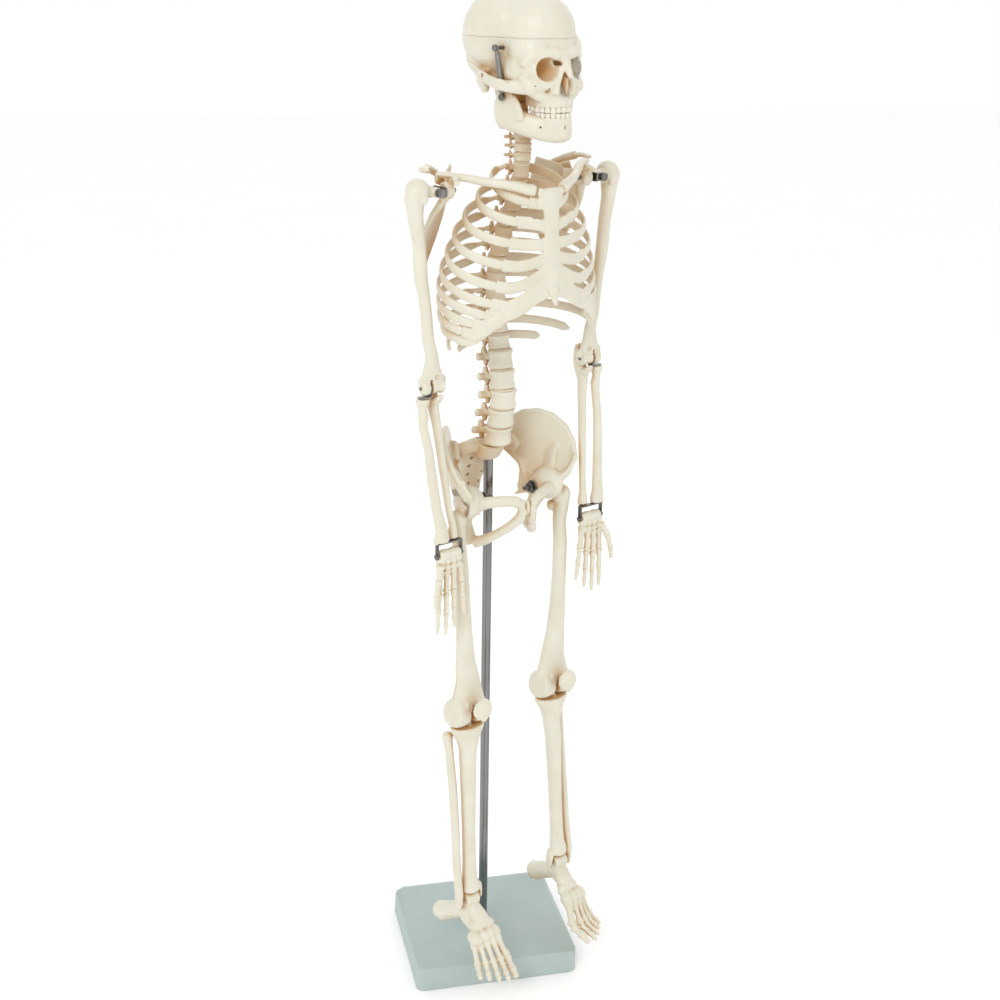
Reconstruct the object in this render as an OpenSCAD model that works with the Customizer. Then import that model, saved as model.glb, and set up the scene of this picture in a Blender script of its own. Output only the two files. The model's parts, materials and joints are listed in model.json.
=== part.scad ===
// Classroom skeleton on a pole stand. Millimetres, +Z up.
// Origin: on the pole's axis, in the underside of the base.
// The bones are drawn in the skeleton's own frame: its left is +X, its front is -Y,
// and z = 0 is the shoulder of the pole on which it stands.

/* [Stand] */
// Width of the base, left to right
base_w = 146; // [120:1:240]
// Depth of the base, front to back
base_d = 132; // [120:1:240]
// Height of the base
base_h = 21; // [18:0.5:40]
// Radius of the base's upright corners
base_corner = 7; // [3:0.5:15]
// Wall of the moulded base
base_wall = 3; // [2:0.5:5]
// Diameter of the pole
pole_d = 8; // [6.5:0.5:9]
// Height of the pole's shoulder above the base
pole_rise = 452; // [440:1:600]

/* [Trunk] */
// Height that one lumbar vertebra and its disc take
lumbar_pitch = 16; // [13:0.1:20]
// Height that one thoracic vertebra and its disc take
thoracic_pitch = 12.6; // [10.5:0.1:16]
// Height that one neck vertebra and its disc take
neck_pitch = 7.1; // [6:0.1:9]
// Thickness of a disc
disc_h = 1.8; // [1.2:0.1:2.4]
// Half of the rib cage's greatest width
cage_half_w = 71; // [60:1:74]
// Height of a rib's flat band
rib_h = 6.4; // [4:0.1:7.5]
// Thickness of a rib
rib_t = 2.6; // [2:0.1:4]

/* [Skull] */
// Radius of the back of the skull
skull_r = 37; // [34:0.5:40]
// Wall of the skull
skull_wall = 3; // [2:0.1:5]
// Turn of the head to its own left
head_yaw = 7; // [-30:1:30]

/* [Limbs] */
// Distance of the shoulder bolt from the middle plane
shoulder_x = 79.5; // [78:0.5:95]
// Length from the shoulder bolt to the elbow pin
upper_arm = 149; // [125:1:180]
// Length from the elbow pin to the wrist pins
forearm = 135; // [112:1:162]
// Length from the hip bolt to the knee pin
thigh = 182; // [151:1:184]
// Length from the knee pin to the ankle pin
shank = 178; // [150:1:182]
// Radius of the ball of the thigh bone
hip_ball_r = 10.5; // [9:0.1:12]

/* [Fits] */
// Radial clearance of a pin or bolt in the bore that turns on it
run_gap = 0.06; // [0.02:0.01:0.1]
// Radial clearance of a screw in the piece that it holds
fix_gap = 0.05; // [0.02:0.01:0.2]
// Gap between bones that turn past each other
bone_gap = 0.5; // [0.3:0.1:1]

/* [Hidden] */

$fn = 48;
bone = "ivory";
metal = "silver";

// Turn of the skeleton on its pole
body_yaw = 25;
seat_z = base_h + pole_rise;

// The spine's line, as z and y of the middle of the vertebral bodies
lumbar_z = 15.5;
thorax_z = lumbar_z + 5 * lumbar_pitch;
neck_z = thorax_z + 12 * thoracic_pitch;
head_z = neck_z + 7 * neck_pitch;
spine_line = [[0, -4], [lumbar_z + 0.7 * lumbar_pitch, -13], [lumbar_z + 2.8 * lumbar_pitch, -19.5],
    [thorax_z, -13], [thorax_z + 3 * thoracic_pitch, -6], [thorax_z + 6 * thoracic_pitch, -8],
    [thorax_z + 8.5 * thoracic_pitch, -20], [thorax_z + 10.6 * thoracic_pitch, -33],
    [neck_z, -37], [neck_z + 2 * neck_pitch, -38], [neck_z + 5 * neck_pitch, -34.5], [head_z, -30]];
head_y = -30;

// Joint centres of the left limbs
shoulder_c = [shoulder_x, -33, neck_z - 18];
elbow_c = shoulder_c + [0.5, 2, -upper_arm];
wrist_c = elbow_c + [-6, -15, -forearm];
hip_c = [43, -27, -24];
knee_c = hip_c + [3, -8, -thigh];
ankle_c = knee_c + [4, -11, -shank];

// Fasteners
sleeve_r = pole_d / 2 + 0.7;
spigot_r = pole_d / 2 - 1;
sleeve_h = 13;
flange_h = 2.4;
shoulder_bolt_r = 1.8;
stem_r = 2;
elbow_pin_r = 1.2;
wrist_pin_r = 1.1;
hip_bolt_r = 2;
knee_pin_r = 1.6;
ankle_pin_r = 1.3;
neck_post_r = 2;
screw_r = 1.3;

// ---- Shapes that repeat ----

function unit(v) = v / norm(v);

function mix(a, b, t) = a + (b - a) * t;

// A solid straight round bar or cone between two points
module limb(p, q, rp, rq) {
    v = q - p;
    translate(p)
    rotate([0, acos(v[2] / norm(v)), atan2(v[1], v[0])])
    cylinder(h = norm(v), r1 = rp, r2 = rq);
}

module ball(p, r) {
    translate(p)
    sphere(r = r);
}

// A bar with round ends
module bar(p, q, rp, rq) {
    limb(p, q, rp, rq);
    ball(p, rp * 1.03);
    ball(q, rq * 1.03);
}

// A round disc or rod along X through point p, from p.x - h/2 to p.x + h/2
module x_rod(p, r, h) {
    translate([p[0] - h / 2, p[1], p[2]])
    rotate([0, 90, 0])
    cylinder(h = h, r = r);
}

module y_rod(p, r, h) {
    translate([p[0], p[1] + h / 2, p[2]])
    rotate([90, 0, 0])
    cylinder(h = h, r = r);
}

module z_rod(p, r, h) {
    translate(p)
    cylinder(h = h, r = r);
}

// A smooth solid through elliptical stations [centre, half width along side, half thickness]
module loft(stations, side = [1, 0, 0], n = 12) {
    m = len(stations);
    points = [for (i = [0 : m - 1])
        let (t = unit(stations[min(i + 1, m - 1)][0] - stations[max(i - 1, 0)][0]),
            e1 = unit(side - (side * t) * t),
            e2 = cross(t, e1))
        for (k = [0 : n - 1])
            stations[i][0] + stations[i][1] * cos(360 * k / n) * e1
                + stations[i][2] * sin(360 * k / n) * e2];
    walls = [for (i = [0 : m - 2], k = [0 : n - 1], half = [0, 1])
        let (a = i * n + k, b = i * n + (k + 1) % n)
        half == 0 ? [a, a + n, b + n] : [a, b + n, b]];
    first = [for (k = [1 : n - 2]) [0, k, k + 1]];
    last = [for (k = [1 : n - 2]) [(m - 1) * n, (m - 1) * n + k + 1, (m - 1) * n + k]];
    polyhedron(points = points, faces = concat(walls, first, last), convexity = 6);
}

module bones() {
    translate([0, 0, seat_z])
    rotate([0, 0, body_yaw])
    children();
}

// The right limb is the left one mirrored in the middle plane
module right() {
    mirror([1, 0, 0])
    children();
}

// ---- Stand ----

base_round = 2.5;
bottom_t = 2;
boss_r = 11;
insert_r = 8;
insert_h = 8;
base_screw_inset = 14;

module rounded_plate(w, d, r, h) {
    linear_extrude(height = h)
    union() {
        square([w - 2 * r, d], center = true);
        square([w, d - 2 * r], center = true);
        for (x = [-1, 1], y = [-1, 1])
            translate([x * (w / 2 - r), y * (d / 2 - r)])
            circle(r = r);
    }
}

module base_shell() {
    inner = base_corner - base_wall;
    color([0.70, 0.78, 0.78])
    difference() {
        rounded_plate(base_w, base_d, base_corner, base_h);
        difference() {
            translate([0, 0, -1])
            rounded_plate(base_w - 2 * base_wall, base_d - 2 * base_wall, max(inner, 1),
                base_h - base_wall + 1);
            cylinder(h = base_h, r = boss_r);
            base_posts(4.5, base_h);
        }
        // The bottom plate sits inside the skirt, flush with its rim
        translate([0, 0, -1])
        rounded_plate(base_w - 2 * base_wall, base_d - 2 * base_wall, max(inner, 1), bottom_t + 1);
        translate([0, 0, -1])
        cylinder(h = bottom_t + insert_h + 1, r = insert_r);
        translate([0, 0, -1])
        cylinder(h = base_h + 2, r = pole_d / 2 + fix_gap);
        translate([0, 0, bottom_t - 1])
        base_posts(screw_r + fix_gap, 9);
    }
}

module base_posts(r, h) {
    for (x = [-1, 1], y = [-1, 1])
        translate([x * (base_w / 2 - base_screw_inset), y * (base_d / 2 - base_screw_inset), 0])
        cylinder(h = h, r = r);
}

module base_bottom() {
    inset = base_wall + 0.2;
    color([0.35, 0.38, 0.38])
    difference() {
        rounded_plate(base_w - 2 * inset, base_d - 2 * inset, max(base_corner - inset, 1), bottom_t);
        translate([0, 0, -1])
        base_posts(screw_r + fix_gap, bottom_t + 2);
        translate([0, 0, -1])
        base_posts(3, 2);
    }
}

// Steel nut moulded into the boss; the foot of the pole is screwed into it
module base_insert() {
    color(metal)
    translate([0, 0, bottom_t])
    difference() {
        cylinder(h = insert_h, r = insert_r);
        translate([0, 0, 1])
        cylinder(h = insert_h, r = pole_d / 2 + fix_gap);
    }
}

module base_screws() {
    color(metal) {
        translate([0, 0, 0.3])
        base_posts(2.8, 0.7);
        translate([0, 0, 0.3])
        base_posts(screw_r, 8);
    }
}

module pole() {
    color(metal)
    union() {
        translate([0, 0, bottom_t + 1])
        cylinder(h = seat_z - bottom_t - 1, r = pole_d / 2);
        translate([0, 0, seat_z - 2])
        cylinder(h = sleeve_h + 1, r = spigot_r);
    }
}

// Steel sleeve that slips over the pole's spigot, with a flange under the sacrum
module socket_sleeve() {
    color(metal)
    difference() {
        union() {
            cylinder(h = sleeve_h, r = sleeve_r);
            cylinder(h = flange_h, r = sleeve_r + 1.2);
        }
        translate([0, 0, -1])
        cylinder(h = sleeve_h + 2, r = spigot_r + run_gap);
    }
}

// ---- Spine ----

function spine_y(z) = lookup(z, spine_line);

module sacrum() {
    top = lumbar_z - disc_h;
    color(bone)
    difference() {
        union() {
            translate([0, -3, flange_h + 0.3])
            cylinder(h = top - flange_h - 0.3, r = 12);
            x_rod([0, 9, 7], 6.5, 47.6);
            loft([[[0, 10, 11], 22, 5], [[0, 14, 3], 21, 6.5], [[0, 19, -8], 18, 6],
                [[0, 23, -20], 14, 5], [[0, 24, -32], 9, 4.2], [[0, 21, -42], 5.5, 3.4],
                [[0, 17, -50], 3.6, 2.8], [[0, 13, -56], 2, 1.8]]);
            bar([0, 15, 8], [0, 24, 0], 3, 2.5);
        }
        translate([0, 0, -8])
        cylinder(h = sleeve_h + 8.4, r = sleeve_r + run_gap);
        translate([0, 0, -20])
        cylinder(h = 20 + flange_h + 0.3, r = sleeve_r + 2.2);
    }
}

// Vertebra n of a stretch: waisted body, side processes, spine process and joint knobs
module vertebra(z, pitch, r, side, back, fall) {
    y = spine_y(z + pitch / 2);
    h = pitch - disc_h;
    translate([0, y, z])
    union() {
        rotate_extrude()
        polygon([[0, 0], [r, 0], [r, h * 0.16], [r * 0.88, h * 0.5], [r, h * 0.84], [r, h], [0, h]]);
        for (s = [-1, 1]) {
            limb([0, r * 0.4, h * 0.55], [s * side, r + 3, h * 0.55], h * 0.2, h * 0.17);
            limb([s * r * 0.55, r * 0.6, h * 0.5], [s * r * 0.5, r + 3.5, h * 0.5], h * 0.24, h * 0.3);
        }
        limb([0, r * 0.6, h * 0.55], [0, r + back, h * 0.45 - fall], h * 0.24, h * 0.16);
    }
}

module lumbar_vertebrae() {
    color(bone)
    for (i = [0 : 4])
        vertebra(lumbar_z + i * lumbar_pitch, lumbar_pitch, 11.4 - 0.3 * i, 20, 15, 1);
}

module thoracic_vertebrae() {
    color(bone)
    for (i = [0 : 11])
        vertebra(thorax_z + i * thoracic_pitch, thoracic_pitch, 9.6 - 0.25 * i, 12.4, 12, 4);
}

module neck_vertebrae() {
    color(bone)
    difference() {
        for (i = [0 : 6])
            vertebra(neck_z + i * neck_pitch, neck_pitch, 6.6, 9.5, i == 6 ? 5 : 10 - i, 1);
        z_rod([0, head_y, head_z - 14], neck_post_r + fix_gap, 20);
    }
}

module disc(z, pitch, r) {
    translate([0, spine_y(z + pitch), z + pitch - disc_h])
    cylinder(h = disc_h, r = r);
}

module spinal_discs() {
    color([0.86, 0.83, 0.76])
    difference() {
        union() {
            translate([0, -5, lumbar_z - disc_h])
            cylinder(h = disc_h, r = 10.4);
            for (i = [0 : 4])
                disc(lumbar_z + i * lumbar_pitch, lumbar_pitch, 9.6 - 0.3 * i);
            for (i = [0 : 11])
                disc(thorax_z + i * thoracic_pitch, thoracic_pitch, 8 - 0.25 * i);
            for (i = [0 : 5])
                disc(neck_z + i * neck_pitch, neck_pitch, 5.4);
        }
        z_rod([0, head_y, head_z - 14], neck_post_r + fix_gap, 20);
    }
}

// ---- Rib cage ----

// Half width of each rib's loop as a share of the cage's, its drop, and the angle where it ends
rib_reach = [0.44, 0.62, 0.76, 0.86, 0.93, 0.975, 1, 1, 0.985, 0.94, 0.87, 0.74];
rib_drop = [22, 24, 27, 31, 35, 36, 32, 27, 21, 14, 22, 12];
rib_end = [150, 146, 144, 142, 140, 138, 134, 124, 114, 104, 78, 52];
rib_start_x = 12.9;
sternum_z = [for (d = [27, 44, 58, 69, 79, 87, 93]) neck_z - d];

function rib_z(i) = neck_z - (i + 0.5) * thoracic_pitch;

function rib_back(i) = spine_y(rib_z(i)) + 14;

function rib_front(i) = -71 - 0.9 * min(i, 7);

// Point of rib i at angle a, where 0 is the back and 180 the breastbone
function rib_point(i, a) =
    let (w = cage_half_w * rib_reach[i], b = rib_back(i), f = rib_front(i))
    [w * sin(a), (b + f) / 2 + (b - f) / 2 * cos(a), rib_z(i) - rib_drop[i] * (1 - cos(a)) / 2];

// Flat band along points: half height rib_h/2 across, half thickness rib_t/2
module band(points, ends = [0.55, 0.85]) {
    m = len(points);
    loft([for (i = [0 : m - 1])
        let (k = i == 0 ? ends[0] : i == m - 1 ? ends[1] : 1)
        [points[i], rib_h / 2 * k, rib_t / 2 * k]], [0, 0, 1], 8);
}

module rib(i) {
    from = asin(rib_start_x / (cage_half_w * rib_reach[i]));
    steps = i > 9 ? 6 : 11;
    band([for (s = [0 : steps]) rib_point(i, mix(from, rib_end[i], s / steps))]);
}

module ribs_left() {
    color(bone)
    for (i = [0 : 11])
        rib(i);
}

// Gristle of rib i, from the rib's end to the breastbone or to the gristle above
module gristle(i) {
    a = rib_point(i, rib_end[i] + 0.5);
    b = rib_point(i, rib_end[i] + 9);
    k = min(i, 6);
    goal = i < 7 ? [6, rib_front(i) - 1, sternum_z[i]]
        : mix(rib_point(i - 1, rib_end[i - 1] + 9), [6, rib_front(6), sternum_z[6]], 0.25 - 0.05 * (9 - i));
    lift = (goal[2] - b[2]) * 0.12;
    band([a, b, mix(b, goal, 0.45) + [1, -2, -lift], mix(b, goal, 0.75) + [0.5, -1.2, 0], goal], [0.85, 1]);
}

module sternum() {
    top = neck_z - 16;
    color(bone)
    union() {
        loft([[[0, -71.5, top], 8, 2.4], [[0, -72, top - 3], 11, 3], [[0, -72.5, top - 9], 10.5, 3.2],
            [[0, -73.5, top - 22], 7, 3], [[0, -74.5, top - 40], 7, 2.8], [[0, -76, top - 62], 8.6, 2.8],
            [[0, -77, top - 75], 7, 2.6], [[0, -79.5, top - 82], 3.6, 2], [[0, -82, top - 88], 2, 1.4]]);
        for (i = [0 : 9]) {
            gristle(i);
            right() gristle(i);
        }
    }
}

// ---- Shoulder girdle ----

module clavicle() {
    inner = [12.5, -70, neck_z - 18];
    outer = [73.5, -27.5, neck_z - 6];
    color(bone)
    loft([[inner, 3.4, 3.4], [mix(inner, outer, 0.08), 4.2, 3.8],
        [mix(inner, outer, 0.3) + [-1, -3.5, 1], 3, 3], [mix(inner, outer, 0.55), 2.8, 2.8],
        [mix(inner, outer, 0.8) + [1, 3, 1], 3.4, 2.6], [outer, 3.8, 2.2]], [0, 1, 0], 12);
}

module scapula() {
    s = shoulder_c;
    neck = [s[0] - 16, s[1] + 8, s[2] - 3];
    acromion = [s[0] - 1, s[1] + 12, s[2] + 13.5];
    color(bone)
    difference() {
        union() {
            loft([[[50, -8, s[2] + 10], 8, 1.4], [[51, -9, s[2] + 5], 15, 1.8],
                [[55, -10, s[2] - 6], 17, 2], [[57, -5, s[2] - 26], 14, 1.8],
                [[60.5, 0, s[2] - 48], 11, 1.7], [[62.5, 4, s[2] - 66], 6.5, 1.6],
                [[63, 7, s[2] - 74], 2.6, 1.3]], [0.78, -0.62, 0], 12);
            limb([56, -13, s[2] - 3], neck + [3, -3, 3], 4.2, 5.8);
            x_rod([s[0] - 13, s[1], s[2]], 6.4, 10);
            bar([40, -1, s[2] - 1], [58, -8, s[2] + 8], 1.8, 2.4);
            bar([58, -8, s[2] + 8], acromion + [0, 6, 1], 2.4, 2.6);
            bar(acromion + [0, 6, 1], acromion, 2.6, 2.7);
            bar(neck + [1, -4, 6], neck + [0, -14, 11], 2.8, 2.5);
            bar(neck + [0, -14, 11], neck + [5, -20, 9], 2.5, 2.3);
        }
        x_rod([s[0] - 13, s[1], s[2]], stem_r + run_gap, 24);
    }
}

// Stem in the shoulder socket, fork and cross bolt
module shoulder_bracket() {
    s = shoulder_c;
    ear_y = 6.9;
    color(metal)
    union() {
        x_rod([s[0] - 12.2, s[1], s[2]], stem_r, 13.6);
        translate([s[0] - 6.6, s[1] - ear_y - 0.8, s[2] - 3.5])
        cube([1.6, 2 * ear_y + 1.6, 7]);
        for (e = [-1, 1]) {
            translate([s[0] - 6.6, s[1] + e * ear_y - 0.8, s[2] - 2.9])
            cube([6.6, 1.6, 5.8]);
            y_rod(s + [0, e * ear_y, 0], 3.3, 1.6);
        }
        y_rod(s, shoulder_bolt_r, 2 * ear_y + 4);
        y_rod(s - [0, ear_y + 1.9, 0], 3.2, 2.2);
        y_rod(s + [0, ear_y + 1.7, 0], 2.9, 1.8);
    }
}

// ---- Arm ----

module humerus() {
    s = shoulder_c;
    e = elbow_c;
    head = s + [13.6, 2, 1];
    color(bone)
    difference() {
        union() {
            y_rod(s, 4.2, 12.2);
            limb(s + [0, 0, 0], head, 3.6, 5);
            ball(head, 9.6);
            loft([[head + [2.6, 0, 4], 6, 6.6], [head + [2, 0, -5], 8.6, 8], [head + [1.6, 0, -16], 6.6, 6.2],
                [mix(head, e, 0.25) + [1.4, 0, 0], 5.2, 5.2], [mix(head, e, 0.5) + [0.8, 0, 0], 4.9, 4.8],
                [mix(head, e, 0.75), 5, 4.6], [e + [0, 0, 17], 6.6, 4.2], [e + [0, 0, 8], 9.8, 4],
                [e + [0, 0, 1], 10, 4.4]]);
            x_rod(e, 6, 20.4);
            bar(e + [-9.6, 0.6, 6], e + [-11, 0.6, 4], 3.2, 2.6);
        }
        y_rod(s, shoulder_bolt_r + run_gap, 20);
        x_rod(e, elbow_pin_r + run_gap, 30);
        // Slot for the lug of the elbow bracket
        x_rod(e + [2.2, 0, 0], 6.9, 2.6);
        // Hollow behind the elbow for the tip of the ulna
        x_rod(e + [-4, 7.6, 6], 5, 9.4);
    }
}

module elbow_bracket() {
    e = elbow_c;
    color(metal)
    union() {
        x_rod(e, elbow_pin_r, 21.6);
        x_rod(e + [2.2, 0, 0], 3, 1.7);
        translate([e[0] + 1.35, e[1] - 2.4, e[2] - 7.8])
        cube([1.7, 4.8, 7.8]);
        translate([e[0] + 1.35, e[1] - 3, e[2] - 7.8])
        cube([10, 6, 1.2]);
        z_rod(e + [9.6, 0, -12], screw_r, 4.8);
    }
}

module ulna() {
    e = elbow_c;
    w = wrist_c;
    top = e + [-4, 4, -12];
    low = w + [-6, 3.5, 13.4];
    color(bone)
    difference() {
        union() {
            loft([[e + [-4, 7.5, 9.6], 2.4, 1.4], [e + [-4, 8.4, 7.4], 4, 3.2], [e + [-4, 9, 1], 4.4, 3.8],
                [e + [-4, 7, -6], 4.8, 6.6], [top, 5, 6.4], [top + [0.3, -2, -9], 4.2, 4.6],
                [mix(top, low, 0.3), 3.7, 3.9], [mix(top, low, 0.65), 3.2, 3.2], [low + [0, 0, 8], 3.2, 3.2],
                [low + [0, 0, 1], 4.2, 4.2], [low + [0, 0, -2], 4, 4]]);
            bar(e + [-4, -6.6, -6.6], e + [-4, 0, -12], 2.2, 4.2);
        }
        x_rod(e, 6 + bone_gap, 40);
        z_rod(low + [0, 0, -4], screw_r + fix_gap, 7);
    }
}

module radius() {
    e = elbow_c;
    w = wrist_c;
    top = e + [8.6, 0, -8.1];
    low = w + [7, 0, 12];
    color(bone)
    difference() {
        union() {
            z_rod(top + [0, 0, -4], 5.4, 4);
            loft([[top + [0, 0, -3], 4.6, 4.6], [top + [0, 0, -5], 4.4, 4.4], [top + [0, 0, -9], 3.6, 3.6],
                [top + [-0.8, 0, -15], 4.6, 3.8], [top + [0, 0, -22], 3.7, 3.6],
                [mix(top, low, 0.5) + [1, 0, 0], 4.1, 3.9], [mix(top, low, 0.8) + [0.5, 0, 0], 4.5, 4],
                [low + [0, 0, 8], 5.4, 4.4], [low + [0, 0, 3], 6.4, 5], [low, 6.1, 4.8]]);
        }
        z_rod(e + [9.6, 0, -16], screw_r + fix_gap, 12);
        z_rod(low + [0, 0, -2], screw_r + fix_gap, 8);
    }
}

// Bent steel strip under the forearm, with two screws up into it and two pins into the hand
module wrist_bracket() {
    w = wrist_c;
    color(metal)
    union() {
        translate([w[0] - 12, w[1] - 2, w[2] + 10.2])
        cube([24, 4, 1.2]);
        for (s = [-1, 1]) {
            translate([w[0] + s * 11.4 - 0.6, w[1] - 1.8, w[2]])
            cube([1.2, 3.6, 11]);
            x_rod(w + [s * 11.4, 0, 0], 2.3, 1.2);
            x_rod(w + [s * 10.6, 0, 0], wrist_pin_r, 4.6);
            x_rod(w + [s * 12.4, 0, 0], 2, 1.2);
        }
        z_rod(w + [7, 0, 10.6], screw_r, 6);
        z_rod(w + [-6, 3.5, 9.2], screw_r, 5.6);
        translate([w[0] - 8, w[1], w[2] + 10.2])
        cube([4, 6, 1.2]);
    }
}

// Joint points of one finger: root, knuckle, two finger joints and tip
module finger(points, r) {
    for (i = [0 : len(points) - 2])
        limb(points[i], points[i + 1], r * (1 - 0.1 * i), r * (0.9 - 0.1 * i));
    for (i = [1 : len(points) - 1])
        ball(points[i], r * (i == len(points) - 1 ? 0.72 : 1.16 - 0.1 * i));
}

module hand() {
    w = wrist_c;
    roots = [6, 2, -2, -6];
    tips = [6.6, 2, -3, -9];
    length = [62, 64, 58, 50];
    color(bone)
    difference() {
        union() {
            x_rod(w, 4.8, 21);
            limb(w + [6, 0, -2], w + [5, 0, -9], 5.4, 4);
            limb(w + [-5, 0, -2], w + [-4.5, 0, -9], 5.2, 3.8);
            limb(w + [0, 0, 0], w + [0, 0, -10], 5, 3.6);
            for (k = [0 : 3])
                finger([for (t = [0.1, 0.46, 0.72, 0.88, 1])
                    w + [mix(roots[k], tips[k], t), -1 + 2 * t * (t - 1), -length[k] * t]], 2.3);
            finger([w + [8, -3, -6], w + [12, -6, -17], w + [13.5, -7, -29], w + [13.8, -7, -38]], 2.5);
        }
        x_rod(w, wrist_pin_r + run_gap, 30);
    }
}

// ---- Pelvis ----

socket_gap = 0.4;
disc_half = 1.6;

module hip_bone() {
    h = hip_c;
    color(bone)
    difference() {
        union() {
            loft([[h + [-1, 3, -4], 9, 7], [h + [-2, 5, 8], 12, 5.5], [h + [-2, 11, 20], 22, 3.2],
                [h + [-1, 15.5, 32], 34, 2.4], [h + [2, 15.5, 43], 34.5, 2.2], [h + [4, 15.5, 52], 27, 2.6],
                [h + [5, 15.5, 57.5], 14, 1.8]], [-0.46, 0.88, 0], 16);
            x_rod([29.6, 9, 7], 6, 11);
            limb([31, 9, 7], [36, 2, 9], 6, 4);
            ball(h + [-3.4, 0, 0], hip_ball_r + 3);
            bar(h + [-6, -5, -1], [7, -50, -25], 4.4, 4.6);
            bar([7, -50, -25], [5.6, -50, -37], 4.6, 3.8);
            bar([5.6, -50, -37], [20, -37, -52], 3.2, 3);
            bar([20, -37, -52], [31, -22, -61], 3, 4.6);
            limb(h + [-4, 5, -6], [32, -16, -60], 7.5, 6);
            ball([32, -17, -60], 6.2);
        }
        ball(h, hip_ball_r + socket_gap);
        // The socket opens outwards
        translate(h)
        rotate([0, 90, 0])
        cylinder(h = 30, r1 = hip_ball_r + socket_gap, r2 = hip_ball_r + 22);
        x_rod(h + [-14, 0, 0], hip_bolt_r + fix_gap, 40);
        translate([disc_half - 20, -80, -80])
        cube([20, 80, 80]);
    }
}

module pubic_disc() {
    color([0.86, 0.83, 0.76])
    x_rod([0, -50, -31], 4, 2 * disc_half);
}

// Bolt through the socket, with its washer and nut inside the pelvis
module hip_bolt() {
    h = hip_c;
    color(metal)
    union() {
        x_rod(h + [-10.5, 0, 0], hip_bolt_r, 31);
        x_rod(h + [-hip_ball_r - 7.2, 0, 0], 5.4, 1.2);
        translate(h + [-hip_ball_r - 11.4, 0, 0])
        rotate([0, 90, 0])
        cylinder(h = 3.6, r = 4, $fn = 6);
    }
}

// ---- Leg ----

condyle_r = 13;
condyle_w = 34;

module femur() {
    h = hip_c;
    k = knee_c;
    trochanter = h + [12.2, -4, -12];
    color(bone)
    difference() {
        union() {
            translate(h)
            rotate([0, 90, 0])
            sphere(r = hip_ball_r);
            loft([[h + [3, -0.9, -3], 6.4, 6.2], [mix(h, trochanter, 0.6), 6, 5.8],
                [trochanter + [-1, 0.4, -0.6], 6.6, 6.4]], [0, 1, 0]);
            loft([[trochanter + [0.6, 0, 7], 3.6, 4.4], [trochanter + [0, 0, 1], 5.4, 7],
                [trochanter + [-1, 0, -10], 6.2, 7.2], [trochanter + [-2.6, 0, -22], 5.8, 6.2],
                [mix(trochanter, k, 0.35) + [-0.6, -1.4, 0], 5.5, 5.5],
                [mix(trochanter, k, 0.6) + [0, -1, 0], 5.7, 5.5],
                [mix(trochanter, k, 0.78), 6.8, 6.4], [k + [0, 0, 20], 10.5, 8], [k + [0, 0, 8], 15, 9],
                [k + [0, 0, 2], 15.6, 8]]);
            ball(h + [6.4, 3, -22.5], 3.4);
            x_rod(k, condyle_r, condyle_w);
        }
        x_rod(h + [-4, 0, 0], hip_bolt_r + run_gap, 19);
        x_rod(k, knee_pin_r + run_gap, condyle_w + 4);
        // Room between the condyles for the lug of the shin bone
        translate([k[0] - 3, k[1] - condyle_r - 1, k[2] - condyle_r - 1])
        cube([6, 2 * condyle_r + 2, condyle_r + 7]);
        y_rod(k + [0, -10, 9], screw_r + fix_gap, 14);
    }
}

module knee_pin() {
    k = knee_c;
    color(metal)
    union() {
        x_rod(k, knee_pin_r, condyle_w + 2);
        for (s = [-1, 1])
            x_rod(k + [s * (condyle_w / 2 + 0.8), 0, 0], 2.8, 1.2);
    }
}

// Knee cap on its own short screw
module patella() {
    p = knee_c + [0, -21, 9];
    color(bone)
    union() {
        loft([[p + [0, -4.6, 0], 4, 4.6], [p + [0, -3, 0], 8, 8.6], [p + [0, 0, 0], 9.6, 10.4],
            [p + [0, 3, 0], 7, 8]], [1, 0, 0], 16);
        y_rod(p + [0, 6, 0], screw_r, 10);
    }
}

module tibia() {
    k = knee_c;
    a = ankle_c;
    top = k + [0, 0, -condyle_r - bone_gap];
    color(bone)
    difference() {
        union() {
            loft([[top, 16.6, 11.4], [top + [0, 0, -4], 16.4, 11.2], [top + [0, -0.5, -12], 11.4, 9.6],
                [top + [0, -1, -26], 7.6, 8], [mix(top, a, 0.32), 6.2, 6.8], [mix(top, a, 0.6), 5.2, 5.8],
                [mix(top, a, 0.82), 5.8, 5.8], [a + [0, 0, 14], 8.4, 7.6], [a + [0, 0, 8.6], 9.2, 8]]);
            // Lug between the condyles
            x_rod(k, 4.4, 5);
            translate([k[0] - 2.5, k[1] - 4, top[2] - 3])
            cube([5, 8, condyle_r + 3]);
            // Inner ankle
            bar(a + [-9.4, 0, 11], a + [-10.2, 0, -1], 3.2, 2.6);
        }
        x_rod(k, knee_pin_r + fix_gap, condyle_w);
        x_rod(a, ankle_pin_r + fix_gap, 40);
        x_rod(a, 7.4 + bone_gap, 14.4);
    }
}

module fibula() {
    k = knee_c;
    a = ankle_c;
    low = a + [11.6, 0, 0];
    high = k + [15, 8, -condyle_r - 12];
    color(bone)
    difference() {
        union() {
            ball(high, 4.2);
            limb(high, mix(high, low, 0.14), 3.9, 2.7);
            limb(mix(high, low, 0.13), mix(high, low, 0.85), 2.8, 2.8);
            limb(mix(high, low, 0.84), low + [0, 0, 3], 2.8, 3.2);
            bar(low + [0, 0, 3], low + [0, 0, -5], 3.2, 2.8);
        }
        x_rod(a, ankle_pin_r + fix_gap, 40);
        x_rod(a, 7.4 + bone_gap, 16.6);
    }
}

module ankle_pin() {
    a = ankle_c;
    color(metal)
    union() {
        x_rod(a + [0.6, 0, 0], ankle_pin_r, 30);
        x_rod(a + [15.8, 0, 0], 2.6, 1.2);
        x_rod(a + [-13.8, 0, 0], 2.6, 1.2);
    }
}

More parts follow.
